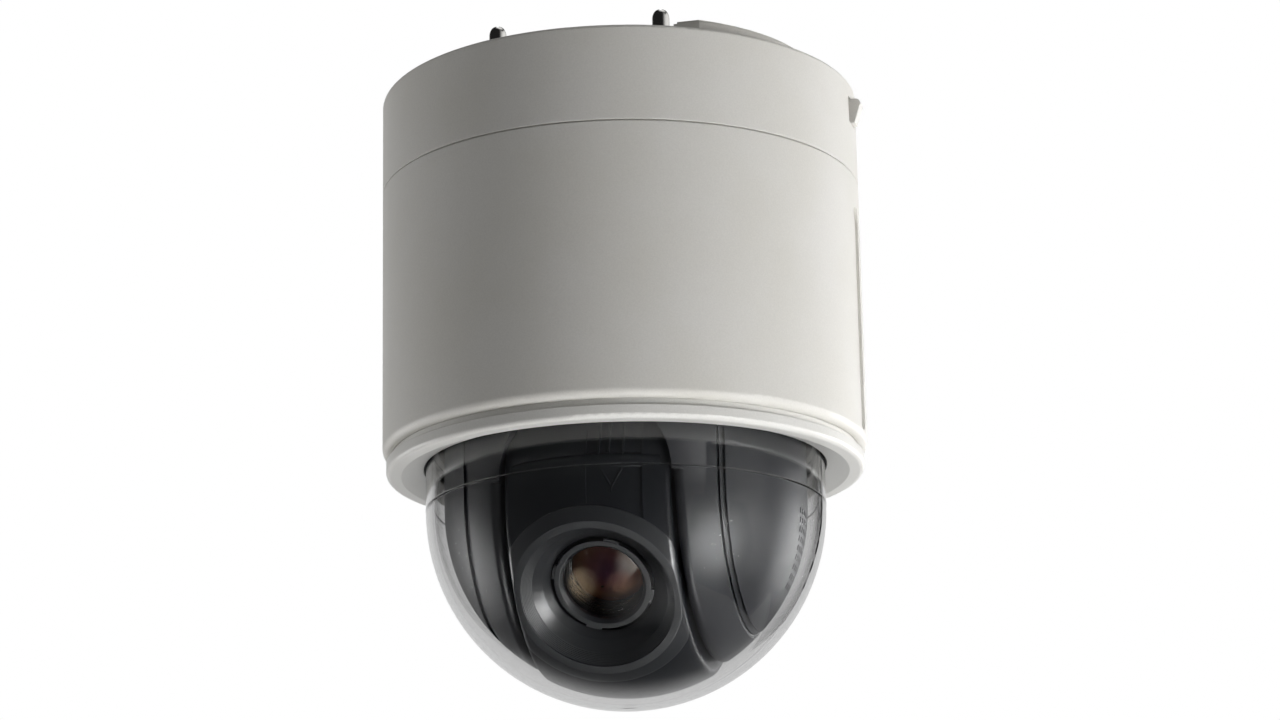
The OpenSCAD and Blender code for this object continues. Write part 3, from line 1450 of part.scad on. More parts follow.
module tilt_gear() {
    color("#ece6cf") translate([-gear_x - tilt_gear_t, 0, tilt_z]) rotate([0, 90, 0]) difference() {
        rotate([0, 0, 180]) linear_extrude(tilt_gear_t) gear_outline(tilt_module, tilt_teeth);
        translate([0, 0, -cut]) cylinder(r = axle_r + fit, h = 10);
        for (a = [0:60:300]) rotate([0, 0, a]) translate([10.2, 0, -cut]) cylinder(r = 2.6, h = 10);
    }
}

top_cover();
ceiling_studs();
stud_nuts();
terminal_cover();
cable_grommet();
cover_screws();
main_housing();
trim_ring();
bubble();
bubble_seal();
latch_left();
latch_right();
latch_spring_left();
latch_spring_right();
power_board();
terminal_block();
main_board();
board_heatsink();
chassis_screws();
base_plate();
bearing_retainer();
pan_bearing_outer();
pan_bearing_inner();
pan_bearing_balls();
pan_motor();
pan_pinion();
slip_ring_stator();
slip_ring_rotor();
hub_nut();
turntable();
pan_gear();
yoke_arm_left();
yoke_arm_right();
deck_screws();
centre_shroud();
side_cover_left();
side_cover_right();
tilt_bushes();
tilt_motor();
tilt_bracket();
tilt_pinion();
fan_frame();
fan_rotor();
head_front_shell();
head_rear_shell();
lens_hood();
bezel_ring();
front_glass();
inner_glass();
iris_ring();
lens_barrel();
zoom_chassis();
guide_rods();
zoom_group();
focus_group();
sensor_board();
trunnion_left();
trunnion_right();
tilt_gear();
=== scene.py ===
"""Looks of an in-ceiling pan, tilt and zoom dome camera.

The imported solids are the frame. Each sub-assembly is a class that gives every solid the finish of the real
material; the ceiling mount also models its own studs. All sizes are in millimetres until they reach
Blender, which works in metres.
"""

import logging
import math
from dataclasses import dataclass, field
from enum import Enum
from typing import Any

import bpy
from mathutils import Matrix, Vector


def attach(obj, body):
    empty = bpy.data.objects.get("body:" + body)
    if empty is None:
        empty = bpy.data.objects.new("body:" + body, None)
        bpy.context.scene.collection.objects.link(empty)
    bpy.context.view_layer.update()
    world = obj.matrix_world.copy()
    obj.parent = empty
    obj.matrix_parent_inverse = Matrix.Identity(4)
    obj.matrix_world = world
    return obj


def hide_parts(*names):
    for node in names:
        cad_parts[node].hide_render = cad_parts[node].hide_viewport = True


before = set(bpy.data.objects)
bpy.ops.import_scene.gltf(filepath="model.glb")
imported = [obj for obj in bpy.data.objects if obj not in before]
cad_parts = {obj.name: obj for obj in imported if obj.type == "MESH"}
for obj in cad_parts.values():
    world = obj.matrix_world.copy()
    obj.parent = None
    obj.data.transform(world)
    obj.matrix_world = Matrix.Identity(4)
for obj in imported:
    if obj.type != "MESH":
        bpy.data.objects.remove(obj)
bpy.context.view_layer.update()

LOG = logging.getLogger("dome_camera")
MM = 0.001

Tree = bpy.types.NodeTree
Socket = bpy.types.NodeSocket


# ---------------------------------------------------------------------------
# Colour and node helpers
# ---------------------------------------------------------------------------


def linear(code: str) -> tuple[float, float, float, float]:
    """Turn an sRGB hex colour into linear red, green, blue and alpha.

    Args:
        code: colour as "#rrggbb".

    Returns:
        The linear colour with an alpha of 1.
    """
    values = [int(code[i : i + 2], 16) / 255 for i in (1, 3, 5)]
    red, green, blue = (v / 12.92 if v <= 0.04045 else ((v + 0.055) / 1.055) ** 2.4 for v in values)
    return red, green, blue, 1.0


def add_node(
    tree: Tree, kind: str, inputs: dict[str | int, Any] | None = None, **settings: Any
) -> bpy.types.Node:
    """Add a node, set its properties and fill or link its inputs.

    Args:
        tree: node tree that gets the node.
        kind: Blender's name for the type of node.
        inputs: for each input, by name or number, a value or the output to link to it.
        settings: properties of the node itself.

    Returns:
        The new node.
    """
    made = tree.nodes.new(kind)
    for name, value in settings.items():
        setattr(made, name, value)
    for key, value in (inputs or {}).items():
        if isinstance(value, Socket):
            tree.links.new(value, made.inputs[key])
        else:
            made.inputs[key].default_value = value
    return made


# ---------------------------------------------------------------------------
# Finishes
# ---------------------------------------------------------------------------


@dataclass(frozen=True)
class Finish:
    """A surface made from one real material by one process.

    Attributes:
        name: the material and how its surface was made.
        colour: main colour as sRGB hex.
        second: colour of its blotches, as sRGB hex.
        blotch_mm: size of a blotch.
        blotch: how far a blotch takes the colour to the second one, from 0 to 1.
        roughness: lowest and highest roughness.
        grain_mm: width of a grain of the surface.
        relief_mm: height of that grain.
        edge_mm: radius that the process leaves on a sharp edge.
        metallic: 0 for plastics and glass, 1 for bare metal.
        ior: index of refraction.
        coat: weight of a clear or glossy top layer.
        sheen: weight of a dusty bloom.
    """

    name: str
    colour: str
    second: str
    blotch_mm: float = 30.0
    blotch: float = 0.5
    roughness: tuple[float, float] = (0.4, 0.5)
    grain_mm: float = 0.5
    relief_mm: float = 0.01
    edge_mm: float = 0.3
    metallic: float = 0.0
    ior: float = 1.5
    coat: float = 0.0
    sheen: float = 0.0

    def position(self, tree: Tree) -> Socket:
        """Return the object coordinates in millimetres.

        Args:
            tree: the material's node tree.

        Returns:
            Output with the place on the piece, in millimetres.
        """
        place = add_node(tree, "ShaderNodeTexCoord")
        scaled = add_node(
            tree,
            "ShaderNodeMapping",
            {"Vector": place.outputs["Object"], "Scale": (1 / MM, 1 / MM, 1 / MM)},
            vector_type="POINT",
        )
        return scaled.outputs["Vector"]

    def grain(self, tree: Tree, place: Socket) -> Socket:
        """Return the fine pattern that the process leaves, from 0 to 1.

        Args:
            tree: the material's node tree.
            place: place on the piece in millimetres.

        Returns:
            Output of the pattern.
        """
        made = add_node(
            tree,
            "ShaderNodeTexNoise",
            {"Vector": place, "Scale": 1 / self.grain_mm, "Detail": 3.0, "Roughness": 0.6},
        )
        return made.outputs["Fac"]

    def tint(self, tree: Tree, place: Socket, grain: Socket) -> Socket:
        """Return the colour with its blotches.

        Args:
            tree: the material's node tree.
            place: place on the piece in millimetres.
            grain: the fine pattern.

        Returns:
            Output of the colour.
        """
        cloud = add_node(
            tree,
            "ShaderNodeTexNoise",
            {"Vector": place, "Scale": 1 / self.blotch_mm, "Detail": 4.0, "Roughness": 0.55},
        )
        share = add_node(
            tree,
            "ShaderNodeMapRange",
            {"Value": cloud.outputs["Fac"], "From Min": 0.35, "From Max": 0.7, "To Max": self.blotch},
        )
        base = add_node(
            tree,
            "ShaderNodeMix",
            {0: share.outputs["Result"], 6: linear(self.colour), 7: linear(self.second)},
            data_type="RGBA",
        )
        speckle = add_node(
            tree,
            "ShaderNodeMapRange",
            {"Value": grain, "From Min": 0.3, "From Max": 0.7, "To Min": 0.96, "To Max": 1.03},
        )
        return self.multiply(tree, base.outputs[2], speckle.outputs["Result"])

    def multiply(self, tree: Tree, colour: Socket, factor: Socket) -> Socket:
        """Return a colour that is brightened or darkened by a factor.

        Args:
            tree: the material's node tree.
            colour: the colour.
            factor: the factor for all three channels.

        Returns:
            Output of the scaled colour.
        """
        scaled = add_node(tree, "ShaderNodeVectorMath", {0: colour, "Scale": factor}, operation="SCALE")
        return scaled.outputs["Vector"]

    def relief(self, tree: Tree, place: Socket, grain: Socket) -> Socket:
        """Return the surface's normal, with rounded edges and the grain's height.

        Args:
            tree: the material's node tree.
            place: place on the piece in millimetres; not used.
            grain: the fine pattern.

        Returns:
            Output of the normal.
        """
        rounded = add_node(tree, "ShaderNodeBevel", {"Radius": self.edge_mm * MM}, samples=6)
        bumped = add_node(
            tree,
            "ShaderNodeBump",
            {"Height": grain, "Distance": self.relief_mm * MM, "Normal": rounded.outputs["Normal"]},
        )
        return bumped.outputs["Normal"]

    def shade(self, tree: Tree, shader: bpy.types.Node) -> None:
        """Link the finish's own patterns to the surface shader.

        Args:
            tree: the material's node tree.
            shader: the Principled shader.
        """
        place = self.position(tree)
        grain = self.grain(tree, place)
        rough = add_node(
            tree,
            "ShaderNodeMapRange",
            {
                "Value": grain,
                "From Min": 0.3,
                "From Max": 0.7,
                "To Min": self.roughness[0],
                "To Max": self.roughness[1],
            },
        )
        tree.links.new(self.tint(tree, place, grain), shader.inputs["Base Color"])
        tree.links.new(rough.outputs["Result"], shader.inputs["Roughness"])
        tree.links.new(self.relief(tree, place, grain), shader.inputs["Normal"])

    def material(self) -> bpy.types.Material:
        """Return this finish as a material, made once.

        Returns:
            The Blender material.
        """
        found = bpy.data.materials.get(self.name)
        if found:
            return found
        made = bpy.data.materials.new(self.name)
        made.use_nodes = True
        made.node_tree.nodes.clear()
        shader = add_node(
            made.node_tree,
            "ShaderNodeBsdfPrincipled",
            {
                "Metallic": self.metallic,
                "IOR": self.ior,
                "Coat Weight": self.coat,
                "Sheen Weight": self.sheen,
            },
        )
        self.shade(made.node_tree, shader)
        self.output(made.node_tree, shader)
        return made

    def output(self, tree: Tree, shader: bpy.types.Node) -> None:
        """Send the shader to the material's output.

        Args:
            tree: the material's node tree.
            shader: the surface shader.
        """
        add_node(tree, "ShaderNodeOutputMaterial", {"Surface": shader.outputs[0]})


@dataclass(frozen=True)
class MouldedFinish(Finish):
    """A shell from a spark-eroded mould: even satin grain and faint dust.

    Attributes:
        dust: colour of the dust, as sRGB hex.
        dust_share: how far dust covers a level face, from 0 to 1.
        dust_mm: size of a patch of dust.
    """

    dust: str = "#b9b4a6"
    dust_share: float = 0.25
    dust_mm: float = 11.1

    def tint(self, tree: Tree, place: Socket, grain: Socket) -> Socket:
        """Return the colour with dust that settles on upper faces.

        Args:
            tree: the material's node tree.
            place: place on the piece in millimetres.
            grain: the fine pattern.

        Returns:
            Output of the colour.
        """
        base = super().tint(tree, place, grain)
        facing = add_node(tree, "ShaderNodeNewGeometry")
        upward = add_node(tree, "ShaderNodeSeparateXYZ", {"Vector": facing.outputs["Normal"]})
        settled = add_node(
            tree,
            "ShaderNodeMapRange",
            {"Value": upward.outputs["Z"], "From Min": 0.3, "From Max": 1.0, "To Max": self.dust_share},
        )
        streaks = add_node(
            tree, "ShaderNodeTexNoise", {"Vector": place, "Scale": 1 / self.dust_mm, "Detail": 6.0}
        )
        patch = add_node(
            tree,
            "ShaderNodeMath",
            {0: settled.outputs["Result"], 1: streaks.outputs["Fac"]},
            operation="MULTIPLY",
        )
        mixed = add_node(
            tree, "ShaderNodeMix", {0: patch.outputs[0], 6: base, 7: linear(self.dust)}, data_type="RGBA"
        )
        return mixed.outputs[2]


@dataclass(frozen=True)
class BrushedFinish(Finish):
    """Metal with long fine tool marks along one axis of the piece.

    Attributes:
        along: how close the marks stand along X, Y and Z; the smallest is the way that they run.
    """

    along: tuple[float, float, float] = (0.02, 1.0, 1.0)

    def grain(self, tree: Tree, place: Socket) -> Socket:
        """Return tool marks, stretched along one axis.

        Args:
            tree: the material's node tree.
            place: place on the piece in millimetres.

        Returns:
            Output of the pattern.
        """
        drawn = add_node(
            tree, "ShaderNodeMapping", {"Vector": place, "Scale": self.along}, vector_type="POINT"
        )
        made = add_node(
            tree,
            "ShaderNodeTexNoise",
            {"Vector": drawn.outputs["Vector"], "Scale": 1 / self.grain_mm, "Detail": 4.0},
        )
        return made.outputs["Fac"]


@dataclass(frozen=True)
class ClearFinish(Finish):
    """Clear moulded or polished optical material that light passes through.

    Attributes:
        film_nm: thickness of the coating film, in nanometres.
        film_ior: index of refraction of that film.
        ripple_mm: length of the surface's slow waves.
        ripple_relief_mm: height of those waves.
        smoke: colour that the material takes on with depth, as sRGB hex.
        smoke_per_mm: how fast it does so.
        mould_line_z: level of the mould's parting line, or None.
        line_half_mm: half width of that line.
        line_relief_mm: height of that line.
    """

    film_nm: float = 0.0
    film_ior: float = 1.38
    ripple_mm: float = 40.0
    ripple_relief_mm: float = 0.02
    smoke: str = "#000000"
    smoke_per_mm: float = 0.0
    mould_line_z: float | None = None
    line_half_mm: float = 0.28
    line_relief_mm: float = 0.12

    def height(self, tree: Tree, place: Socket) -> Socket:
        """Return the slow waviness of the surface, with the mould's parting line where it has one.

        Args:
            tree: the material's node tree.
            place: place on the piece in millimetres.

        Returns:
            Output of the height, in millimetres.
        """
        wave = add_node(
            tree, "ShaderNodeTexNoise", {"Vector": place, "Scale": 1 / self.ripple_mm, "Detail": 1.0}
        )
        low = add_node(
            tree, "ShaderNodeMath", {0: wave.outputs["Fac"], 1: self.ripple_relief_mm}, operation="MULTIPLY"
        )
        if self.mould_line_z is None:
            return low.outputs[0]
        level = add_node(tree, "ShaderNodeSeparateXYZ", {"Vector": place})
        away = add_node(
            tree, "ShaderNodeMath", {0: level.outputs["Z"], 1: self.mould_line_z}, operation="SUBTRACT"
        )
        near = add_node(tree, "ShaderNodeMath", {0: away.outputs[0]}, operation="ABSOLUTE")
        ridge = add_node(
            tree,
            "ShaderNodeMapRange",
            {
                "Value": near.outputs[0],
                "From Max": self.line_half_mm,
                "To Min": self.line_relief_mm,
                "To Max": 0.0,
            },
            interpolation_type="SMOOTHSTEP",
        )
        both = add_node(
            tree, "ShaderNodeMath", {0: low.outputs[0], 1: ridge.outputs["Result"]}, operation="ADD"
        )
        return both.outputs[0]

    def shade(self, tree: Tree, shader: bpy.types.Node) -> None:
        """Make the shader clear, with a faint haze of dust and the surface's waviness.

        Args:
            tree: the material's node tree.
            shader: the Principled shader.
        """
        place = self.position(tree)
        shader.inputs["Transmission Weight"].default_value = 1.0
        shader.inputs["Base Color"].default_value = linear(self.colour)
        shader.inputs["Thin Film Thickness"].default_value = self.film_nm
        shader.inputs["Thin Film IOR"].default_value = self.film_ior
        specks = self.grain(tree, place)
        rough = add_node(
            tree,
            "ShaderNodeMapRange",
            {
                "Value": specks,
                "From Min": 0.7,
                "From Max": 0.8,
                "To Min": self.roughness[0],
                "To Max": self.roughness[1],
            },
        )
        bumped = add_node(tree, "ShaderNodeBump", {"Height": self.height(tree, place), "Distance": MM})
        tree.links.new(rough.outputs["Result"], shader.inputs["Roughness"])
        tree.links.new(bumped.outputs["Normal"], shader.inputs["Normal"])

    def output(self, tree: Tree, shader: bpy.types.Node) -> None:
        """Let lamps shine through to the pieces behind, as they do through a real clear wall.

        Args:
            tree: the material's node tree.
            shader: the surface shader.
        """
        path = add_node(tree, "ShaderNodeLightPath")
        soft = add_node(
            tree,
            "ShaderNodeMath",
            {0: path.outputs["Is Shadow Ray"], 1: path.outputs["Is Diffuse Ray"]},
            operation="MAXIMUM",
        )
        clear = add_node(tree, "ShaderNodeBsdfTransparent", {"Color": linear(self.second)})
        mixed = add_node(
            tree, "ShaderNodeMixShader", {0: soft.outputs[0], 1: shader.outputs[0], 2: clear.outputs[0]}
        )
        sink = add_node(tree, "ShaderNodeOutputMaterial", {"Surface": mixed.outputs[0]})
        if self.smoke_per_mm:
            smoke = add_node(
                tree,
                "ShaderNodeVolumeAbsorption",
                {"Color": linear(self.smoke), "Density": self.smoke_per_mm / MM},
            )
            tree.links.new(smoke.outputs[0], sink.inputs["Volume"])


@dataclass(frozen=True)
class PaintedReflectionLensFinish(Finish):
    """Dark glass with a painted reflection: the coatings' violet middle, then magenta, and amber towards the
    edge are painted into its colour.

    Attributes:
        centre_mm: middle of the lens, in the frame at rest.
        reach_mm: radius at which the last colour is reached.
        rings: share of that radius and colour of each ring of painted reflection between the first and the
            last.
    """

    centre_mm: tuple[float, float, float] = (0.0, -24.9, -172.6)
    reach_mm: float = 10.5
    rings: tuple[tuple[float, str], ...] = ((0.3, "#5b3a66"), (0.52, "#7a4a55"), (0.75, "#946046"))

    def tint(self, tree: Tree, place: Socket, grain: Socket) -> Socket:
        """Return painted rings of the coatings' reflected colour round the middle of the lens.

        Args:
            tree: the material's node tree.
            place: place on the piece in millimetres.
            grain: the fine pattern; not used.

        Returns:
            Output of the colour.
        """
        away = add_node(tree, "ShaderNodeVectorMath", {0: place, 1: self.centre_mm}, operation="DISTANCE")
        share = add_node(
            tree,
            "ShaderNodeMapRange",
            {"Value": away.outputs["Value"], "From Max": self.reach_mm},
        )
        # painted reflection: the coatings' violet, magenta and amber reflections are painted into the base
        # colour by distance from the lens's middle
        blend = add_node(tree, "ShaderNodeValToRGB", {"Fac": share.outputs["Result"]})
        ramp = blend.color_ramp
        ramp.elements[0].color = linear(self.colour)
        ramp.elements[1].color = linear(self.second)
        for spot, code in self.rings:
            ramp.elements.new(spot).color = linear(code)
        return blend.outputs["Color"]


@dataclass(frozen=True)
class BoardFinish(Finish):
    """Fibreglass circuit board under solder mask, lighter where copper lies under it.

    Attributes:
        track: colour over the copper, as sRGB hex.
        pitch_mm: distance from one track to the next.
        run: length of a track in pitches.
        track_mm: width of a track.
    """

    track: str = "#2f7a4b"
    pitch_mm: float = 2.54
    run: int = 5
    track_mm: float = 0.18

    def tint(self, tree: Tree, place: Socket, grain: Socket) -> Socket:
        """Return the mask's colour, lighter over the copper tracks.

        Args:
            tree: the material's node tree.
            place: place on the piece in millimetres.
            grain: the fine pattern.

        Returns:
            Output of the colour.
        """
        base = super().tint(tree, place, grain)
        tracks = add_node(
            tree,
            "ShaderNodeTexBrick",
            {
                "Vector": place,
                "Scale": 1.0,
                "Mortar Size": self.track_mm,
                "Brick Width": self.run * self.pitch_mm,
                "Row Height": self.pitch_mm,
            },
        )
        mixed = add_node(
            tree,
            "ShaderNodeMix",
            {0: tracks.outputs["Fac"], 6: base, 7: linear(self.track)},
            data_type="RGBA",
        )
        return mixed.outputs[2]


class Finishes(Enum):
    """Every finish on the camera, named for its material and process."""

    # spark-eroded mould: a fine even satin grain that breaks up highlights on the pale shells
    WHITE_ABS = MouldedFinish(
        "moulded_white_abs", "#e3e1dc", "#dbd8cf", 45, 0.6, (0.42, 0.55), 0.55, 0.012, 0.5, ior=1.54
    )
    # same shells seen where the ring is moulded in a finer cavity: slightly glossier and cleaner
    WHITE_RING = MouldedFinish(
        "moulded_white_ring", "#e8e7e3", "#e0ded8", 40, 0.5, (0.34, 0.44), 0.5, 0.008, 0.35, ior=1.54
    )
    # polished cavity and clear resin: sharp reflections, slow ripple and a parting line at the equator
    CLEAR_PC = ClearFinish(
        "moulded_clear_polycarbonate",
        "#ffffff",
        "#f7f8f8",
        roughness=(0.0, 0.02),
        grain_mm=0.9,
        ior=1.585,
        smoke="#101214",
        smoke_per_mm=0.07,
        mould_line_z=-148.0,
    )
    # textured charcoal plastic: satin sheen that spreads a lamp into a wide soft band
    LINER = MouldedFinish(
        "moulded_charcoal_liner",
        "#292b31",
        "#2f3138",
        35,
        0.5,
        (0.4, 0.47),
        0.5,
        0.003,
        0.35,
        ior=1.95,
        dust="#55534f",
        dust_share=0.1,
    )
    # softer paint over plastic: bluish charcoal with a wide dull highlight
    HEAD_PAINT = MouldedFinish(
        "painted_charcoal_head",
        "#26282d",
        "#2c2e33",
        30,
        0.5,
        (0.36, 0.44),
        0.45,
        0.003,
        0.4,
        ior=1.5,
        dust="#4c4b49",
        dust_share=0.08,
    )
    # turned hood under semi-gloss paint: grooves catch a bright soft streak
    HOOD_PAINT = MouldedFinish(
        "painted_turned_hood",
        "#35373b",
        "#3b3d41",
        24,
        0.5,
        (0.3, 0.36),
        0.4,
        0.002,
        0.3,
        ior=2.3,
        dust="#55534f",
        dust_share=0.08,
    )
    # rear lens group: purple and amber interference reflections painted into its colour over a dark iris
    LENS_COATING = PaintedReflectionLensFinish(
        "lens_group_painted_reflection", "#2a1630", "#8a4a2c", roughness=(0.1, 0.16), grain_mm=0.8, ior=1.7, coat=1.0
    )
    # plain black plastic moulding with a fine matt grain
    BLACK_PLASTIC = MouldedFinish(
        "moulded_black_plastic",
        "#17181a",
        "#1e1f21",
        20,
        0.5,
        (0.3, 0.4),
        0.4,
        0.006,
        0.25,
        ior=1.5,
        dust="#3b3a38",
        dust_share=0.06,
    )
    # ground and polished glass under an anti-reflection film: faint violet and amber reflections
    COATED_GLASS = ClearFinish(
        "coated_optical_glass",
        "#f3efe9",
        "#e8e2d8",
        roughness=(0.0, 0.01),
        grain_mm=1.4,
        ior=1.62,
        film_nm=88.0,
        ripple_relief_mm=0.0,
    )
    # turned and polished stainless steel: bright with hairline rings
    STAINLESS = BrushedFinish(
        "turned_stainless_steel",
        "#c9c8c5",
        "#b5b3af",
        9,
        0.4,
        (0.12, 0.22),
        0.25,
        0.004,
        0.2,
        metallic=1.0,
        along=(1.0, 1.0, 8.0),
    )
    # bright zinc plate: slightly cloudy and bluish
    ZINC = Finish(
        "zinc_plated_steel", "#c3c6c9", "#aeb0ae", 4, 0.6, (0.24, 0.38), 0.3, 0.004, 0.15, metallic=1.0
    )
    # drawn spring wire: grey with lengthwise drawing marks
    SPRING_WIRE = BrushedFinish(
        "drawn_spring_steel",
        "#a9adb0",
        "#8f9396",
        6,
        0.5,
        (0.22, 0.34),
        0.3,
        0.003,
        0.1,
        metallic=1.0,
        along=(0.2, 1.0, 1.0),
    )
    # ground and lapped bearing steel: near mirror
    BEARING_STEEL = Finish(
        "ground_bearing_steel", "#cfd0d2", "#c2c3c5", 10, 0.3, (0.06, 0.12), 0.2, 0.001, 0.15, metallic=1.0
    )
    # pressure die casting: dull silver grey with a flow-marked skin
    CAST_ALLOY = Finish(
        "die_cast_aluminium", "#b3b6b8", "#9fa2a4", 18, 0.7, (0.42, 0.58), 0.7, 0.03, 0.5, metallic=1.0
    )
    # turned aluminium: bright with fine lathe lines
    MACHINED_ALLOY = BrushedFinish(
        "turned_aluminium",
        "#cdcfd1",
        "#bfc1c3",
        14,
        0.4,
        (0.2, 0.32),
        0.3,
        0.004,
        0.2,
        metallic=1.0,
        along=(1.0, 1.0, 6.0),
    )
    # black anodised aluminium: dark, dry sheen
    DARK_ALLOY = Finish(
        "black_anodised_aluminium", "#2d2f33", "#25272a", 12, 0.5, (0.3, 0.42), 0.4, 0.004, 0.2, metallic=0.6
    )
    # sintered bronze bushes: warm and slightly porous
    BRONZE = Finish(
        "sintered_bronze", "#b89a56", "#9a7f45", 3, 0.7, (0.3, 0.45), 0.5, 0.015, 0.2, metallic=1.0
    )
    # natural acetal gears: milky with a waxy gloss
    ACETAL = Finish("moulded_acetal", "#ece7d6", "#e3dcc6", 12, 0.5, (0.26, 0.36), 0.5, 0.005, 0.2, ior=1.48)
    # nitrile rubber: black and dry with a grey bloom
    RUBBER = Finish(
        "moulded_nitrile_rubber",
        "#1d1d1e",
        "#2a2a2a",
        8,
        0.7,
        (0.55, 0.75),
        0.6,
        0.02,
        0.3,
        ior=1.52,
        sheen=0.1,
    )
    # board under green solder mask
    BOARD = BoardFinish(
        "solder_masked_board", "#1d5a38", "#1a5033", 12, 0.5, (0.22, 0.32), 0.6, 0.006, 0.1, ior=1.5
    )
    # green polyamide terminal body
    TERMINAL = Finish(
        "moulded_green_polyamide", "#2f8f52", "#2a8049", 8, 0.5, (0.35, 0.48), 0.5, 0.01, 0.2, ior=1.53
    )
    # motor cans: nickel-plated deep-drawn steel
    MOTOR_STEEL = BrushedFinish(
        "nickel_plated_steel",
        "#bdbbb5",
        "#a8a59e",
        7,
        0.4,
        (0.18, 0.28),
        0.3,
        0.003,
        0.3,
        metallic=1.0,
        along=(1.0, 1.0, 0.05),
    )


def dress(finish: Finishes, *nodes: str) -> None:
    """Give solids of the frame their finish.

    Args:
        finish: the finish.
        nodes: names of the solids.
    """
    for name in nodes:
        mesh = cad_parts[name].data
        mesh.materials.clear()
        mesh.materials.append(finish.value.material())
    LOG.info("%s: %s", finish.value.name, ", ".join(nodes))


# ---------------------------------------------------------------------------
# Sub-assemblies
# ---------------------------------------------------------------------------


@dataclass
class CeilingMount:
    """Studs, nuts and the cable entry on top.

    Attributes:
        apart: distances between the studs along X and Y, in millimetres.
        foot: height of each stud's foot, in millimetres.
        profile: height and radius of each step of a stud, in millimetres.
        slot: width, depth and reach of the driver slot, in millimetres.
        slot_turn: turn of that slot from the Y axis, in degrees.
        sides: number of sides of the turned circle.
        sharp: angle at which an edge stays sharp, in degrees.
    """

    apart: tuple[float, float] = (58.0, 112.0)
    foot: float = -13.5
    profile: tuple[tuple[float, float], ...] = (
        (-0.02, 2.4),
        (0.0, 3.0),
        (10.3, 3.0),
        (10.9, 2.95),
        (11.5, 2.82),
        (12.05, 2.62),
        (12.5, 2.38),
        (12.9, 2.08),
        (13.2, 1.7),
        (13.38, 1.1),
    )
    slot: tuple[float, float, float] = (0.8, 0.7, 8.0)
    slot_turn: float = 14.0
    sides: int = 96
    sharp: float = 32.0

    def dress(self) -> None:
        """Finish the solids and set machined studs in their bosses."""
        pieces = [self.stud(side, end) for side in (-1, 1) for end in (-1, 1)]
        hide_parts("ceiling_studs")
        dress(Finishes.ZINC, "stud_nuts", "cover_screws")
        dress(Finishes.RUBBER, "cable_grommet")
        dress(Finishes.WHITE_ABS, "terminal_cover")

    def stud(self, side: int, end: int) -> bpy.types.Object:
        """Make one finished stud in its place.

        Args:
            side: -1 or 1, which side of the YZ plane it stands on.
            end: -1 or 1, which side of the XZ plane it stands on.

        Returns:
            The finished piece.
        """
        middle = Vector((side * self.apart[0] / 2, end * self.apart[1] / 2, 0.0)) * MM
        piece = self.turn(middle)
        piece.name = f"stud_{'right' if side > 0 else 'left'}_{'rear' if end > 0 else 'front'}"
        self.cut_slot(piece, middle)
        bpy.ops.object.select_all(action="DESELECT")
        piece.select_set(True)
        bpy.context.view_layer.objects.active = piece
        bpy.ops.object.transform_apply(location=True, rotation=True, scale=True)
        bpy.ops.object.shade_smooth_by_angle(angle=math.radians(self.sharp))
        piece.data.materials.append(Finishes.STAINLESS.value.material())
        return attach(piece, "housing")

    def turn(self, middle: Vector) -> bpy.types.Object:
        """Turn the necked shank, the plain shoulder and the rounded tip as one body.

        Args:
            middle: foot of the stud's axis on the mounting face.

        Returns:
            The turned piece.
        """
        height = self.foot
        radius = self.profile[0][1]
        bpy.ops.object.select_all(action="DESELECT")
        bpy.ops.mesh.primitive_circle_add(
            vertices=self.sides,
            radius=radius * MM,
            fill_type="NGON",
            location=middle + Vector((0, 0, height * MM)),
        )
        piece = bpy.context.object
        bpy.ops.object.mode_set(mode="EDIT")
        bpy.ops.mesh.select_all(action="SELECT")
        for level, wide in self.profile:
            bpy.ops.mesh.extrude_region_move(
                TRANSFORM_OT_translate={"value": (0.0, 0.0, (level - height) * MM)}
            )
            bpy.ops.transform.resize(
                value=(wide / radius, wide / radius, 1.0), center_override=middle + Vector((0, 0, level * MM))
            )
            height, radius = level, wide
        bpy.ops.mesh.select_all(action="SELECT")
        bpy.ops.mesh.remove_doubles(threshold=0.001 * MM)
        bpy.ops.mesh.normals_make_consistent(inside=False)
        bpy.ops.object.mode_set(mode="OBJECT")
        return piece

    def cut_slot(self, piece: bpy.types.Object, middle: Vector) -> None:
        """Mill the driver slot across a stud's tip.

        Args:
            piece: the stud.
            middle: foot of the stud's axis on the mounting face.
        """
        width, depth, reach = self.slot
        top = self.profile[-1][0]
        bpy.ops.object.select_all(action="DESELECT")
        bpy.ops.mesh.primitive_cube_add(size=1.0, location=middle + Vector((0.0, 0.0, top * MM)))
        cutter = bpy.context.object
        cutter.scale = (width * MM, reach * MM, 2 * depth * MM)
        cutter.rotation_euler = (0.0, 0.0, math.radians(self.slot_turn))
        bpy.context.view_layer.objects.active = piece
        cut = piece.modifiers.new("slot", "BOOLEAN")
        cut.operation = "DIFFERENCE"
        cut.solver = "EXACT"
        cut.object = cutter
        bpy.ops.object.modifier_apply(modifier=cut.name)
        bpy.data.objects.remove(cutter)


@dataclass
class Housing:
    """Pale shells, ring, latches and what they hold fixed."""

    def dress(self) -> None:
        """Finish the solids."""
        dress(Finishes.WHITE_ABS, "top_cover", "main_housing", "latch_left", "latch_right")
        dress(Finishes.WHITE_RING, "trim_ring")
        dress(Finishes.RUBBER, "bubble_seal")
        dress(Finishes.CLEAR_PC, "bubble")
        dress(Finishes.SPRING_WIRE, "latch_spring_left", "latch_spring_right")
        dress(Finishes.BOARD, "power_board", "main_board")
        dress(Finishes.TERMINAL, "terminal_block")
        dress(Finishes.DARK_ALLOY, "board_heatsink")
        dress(Finishes.ZINC, "chassis_screws")
        dress(Finishes.CAST_ALLOY, "base_plate")
        dress(Finishes.MACHINED_ALLOY, "bearing_retainer")


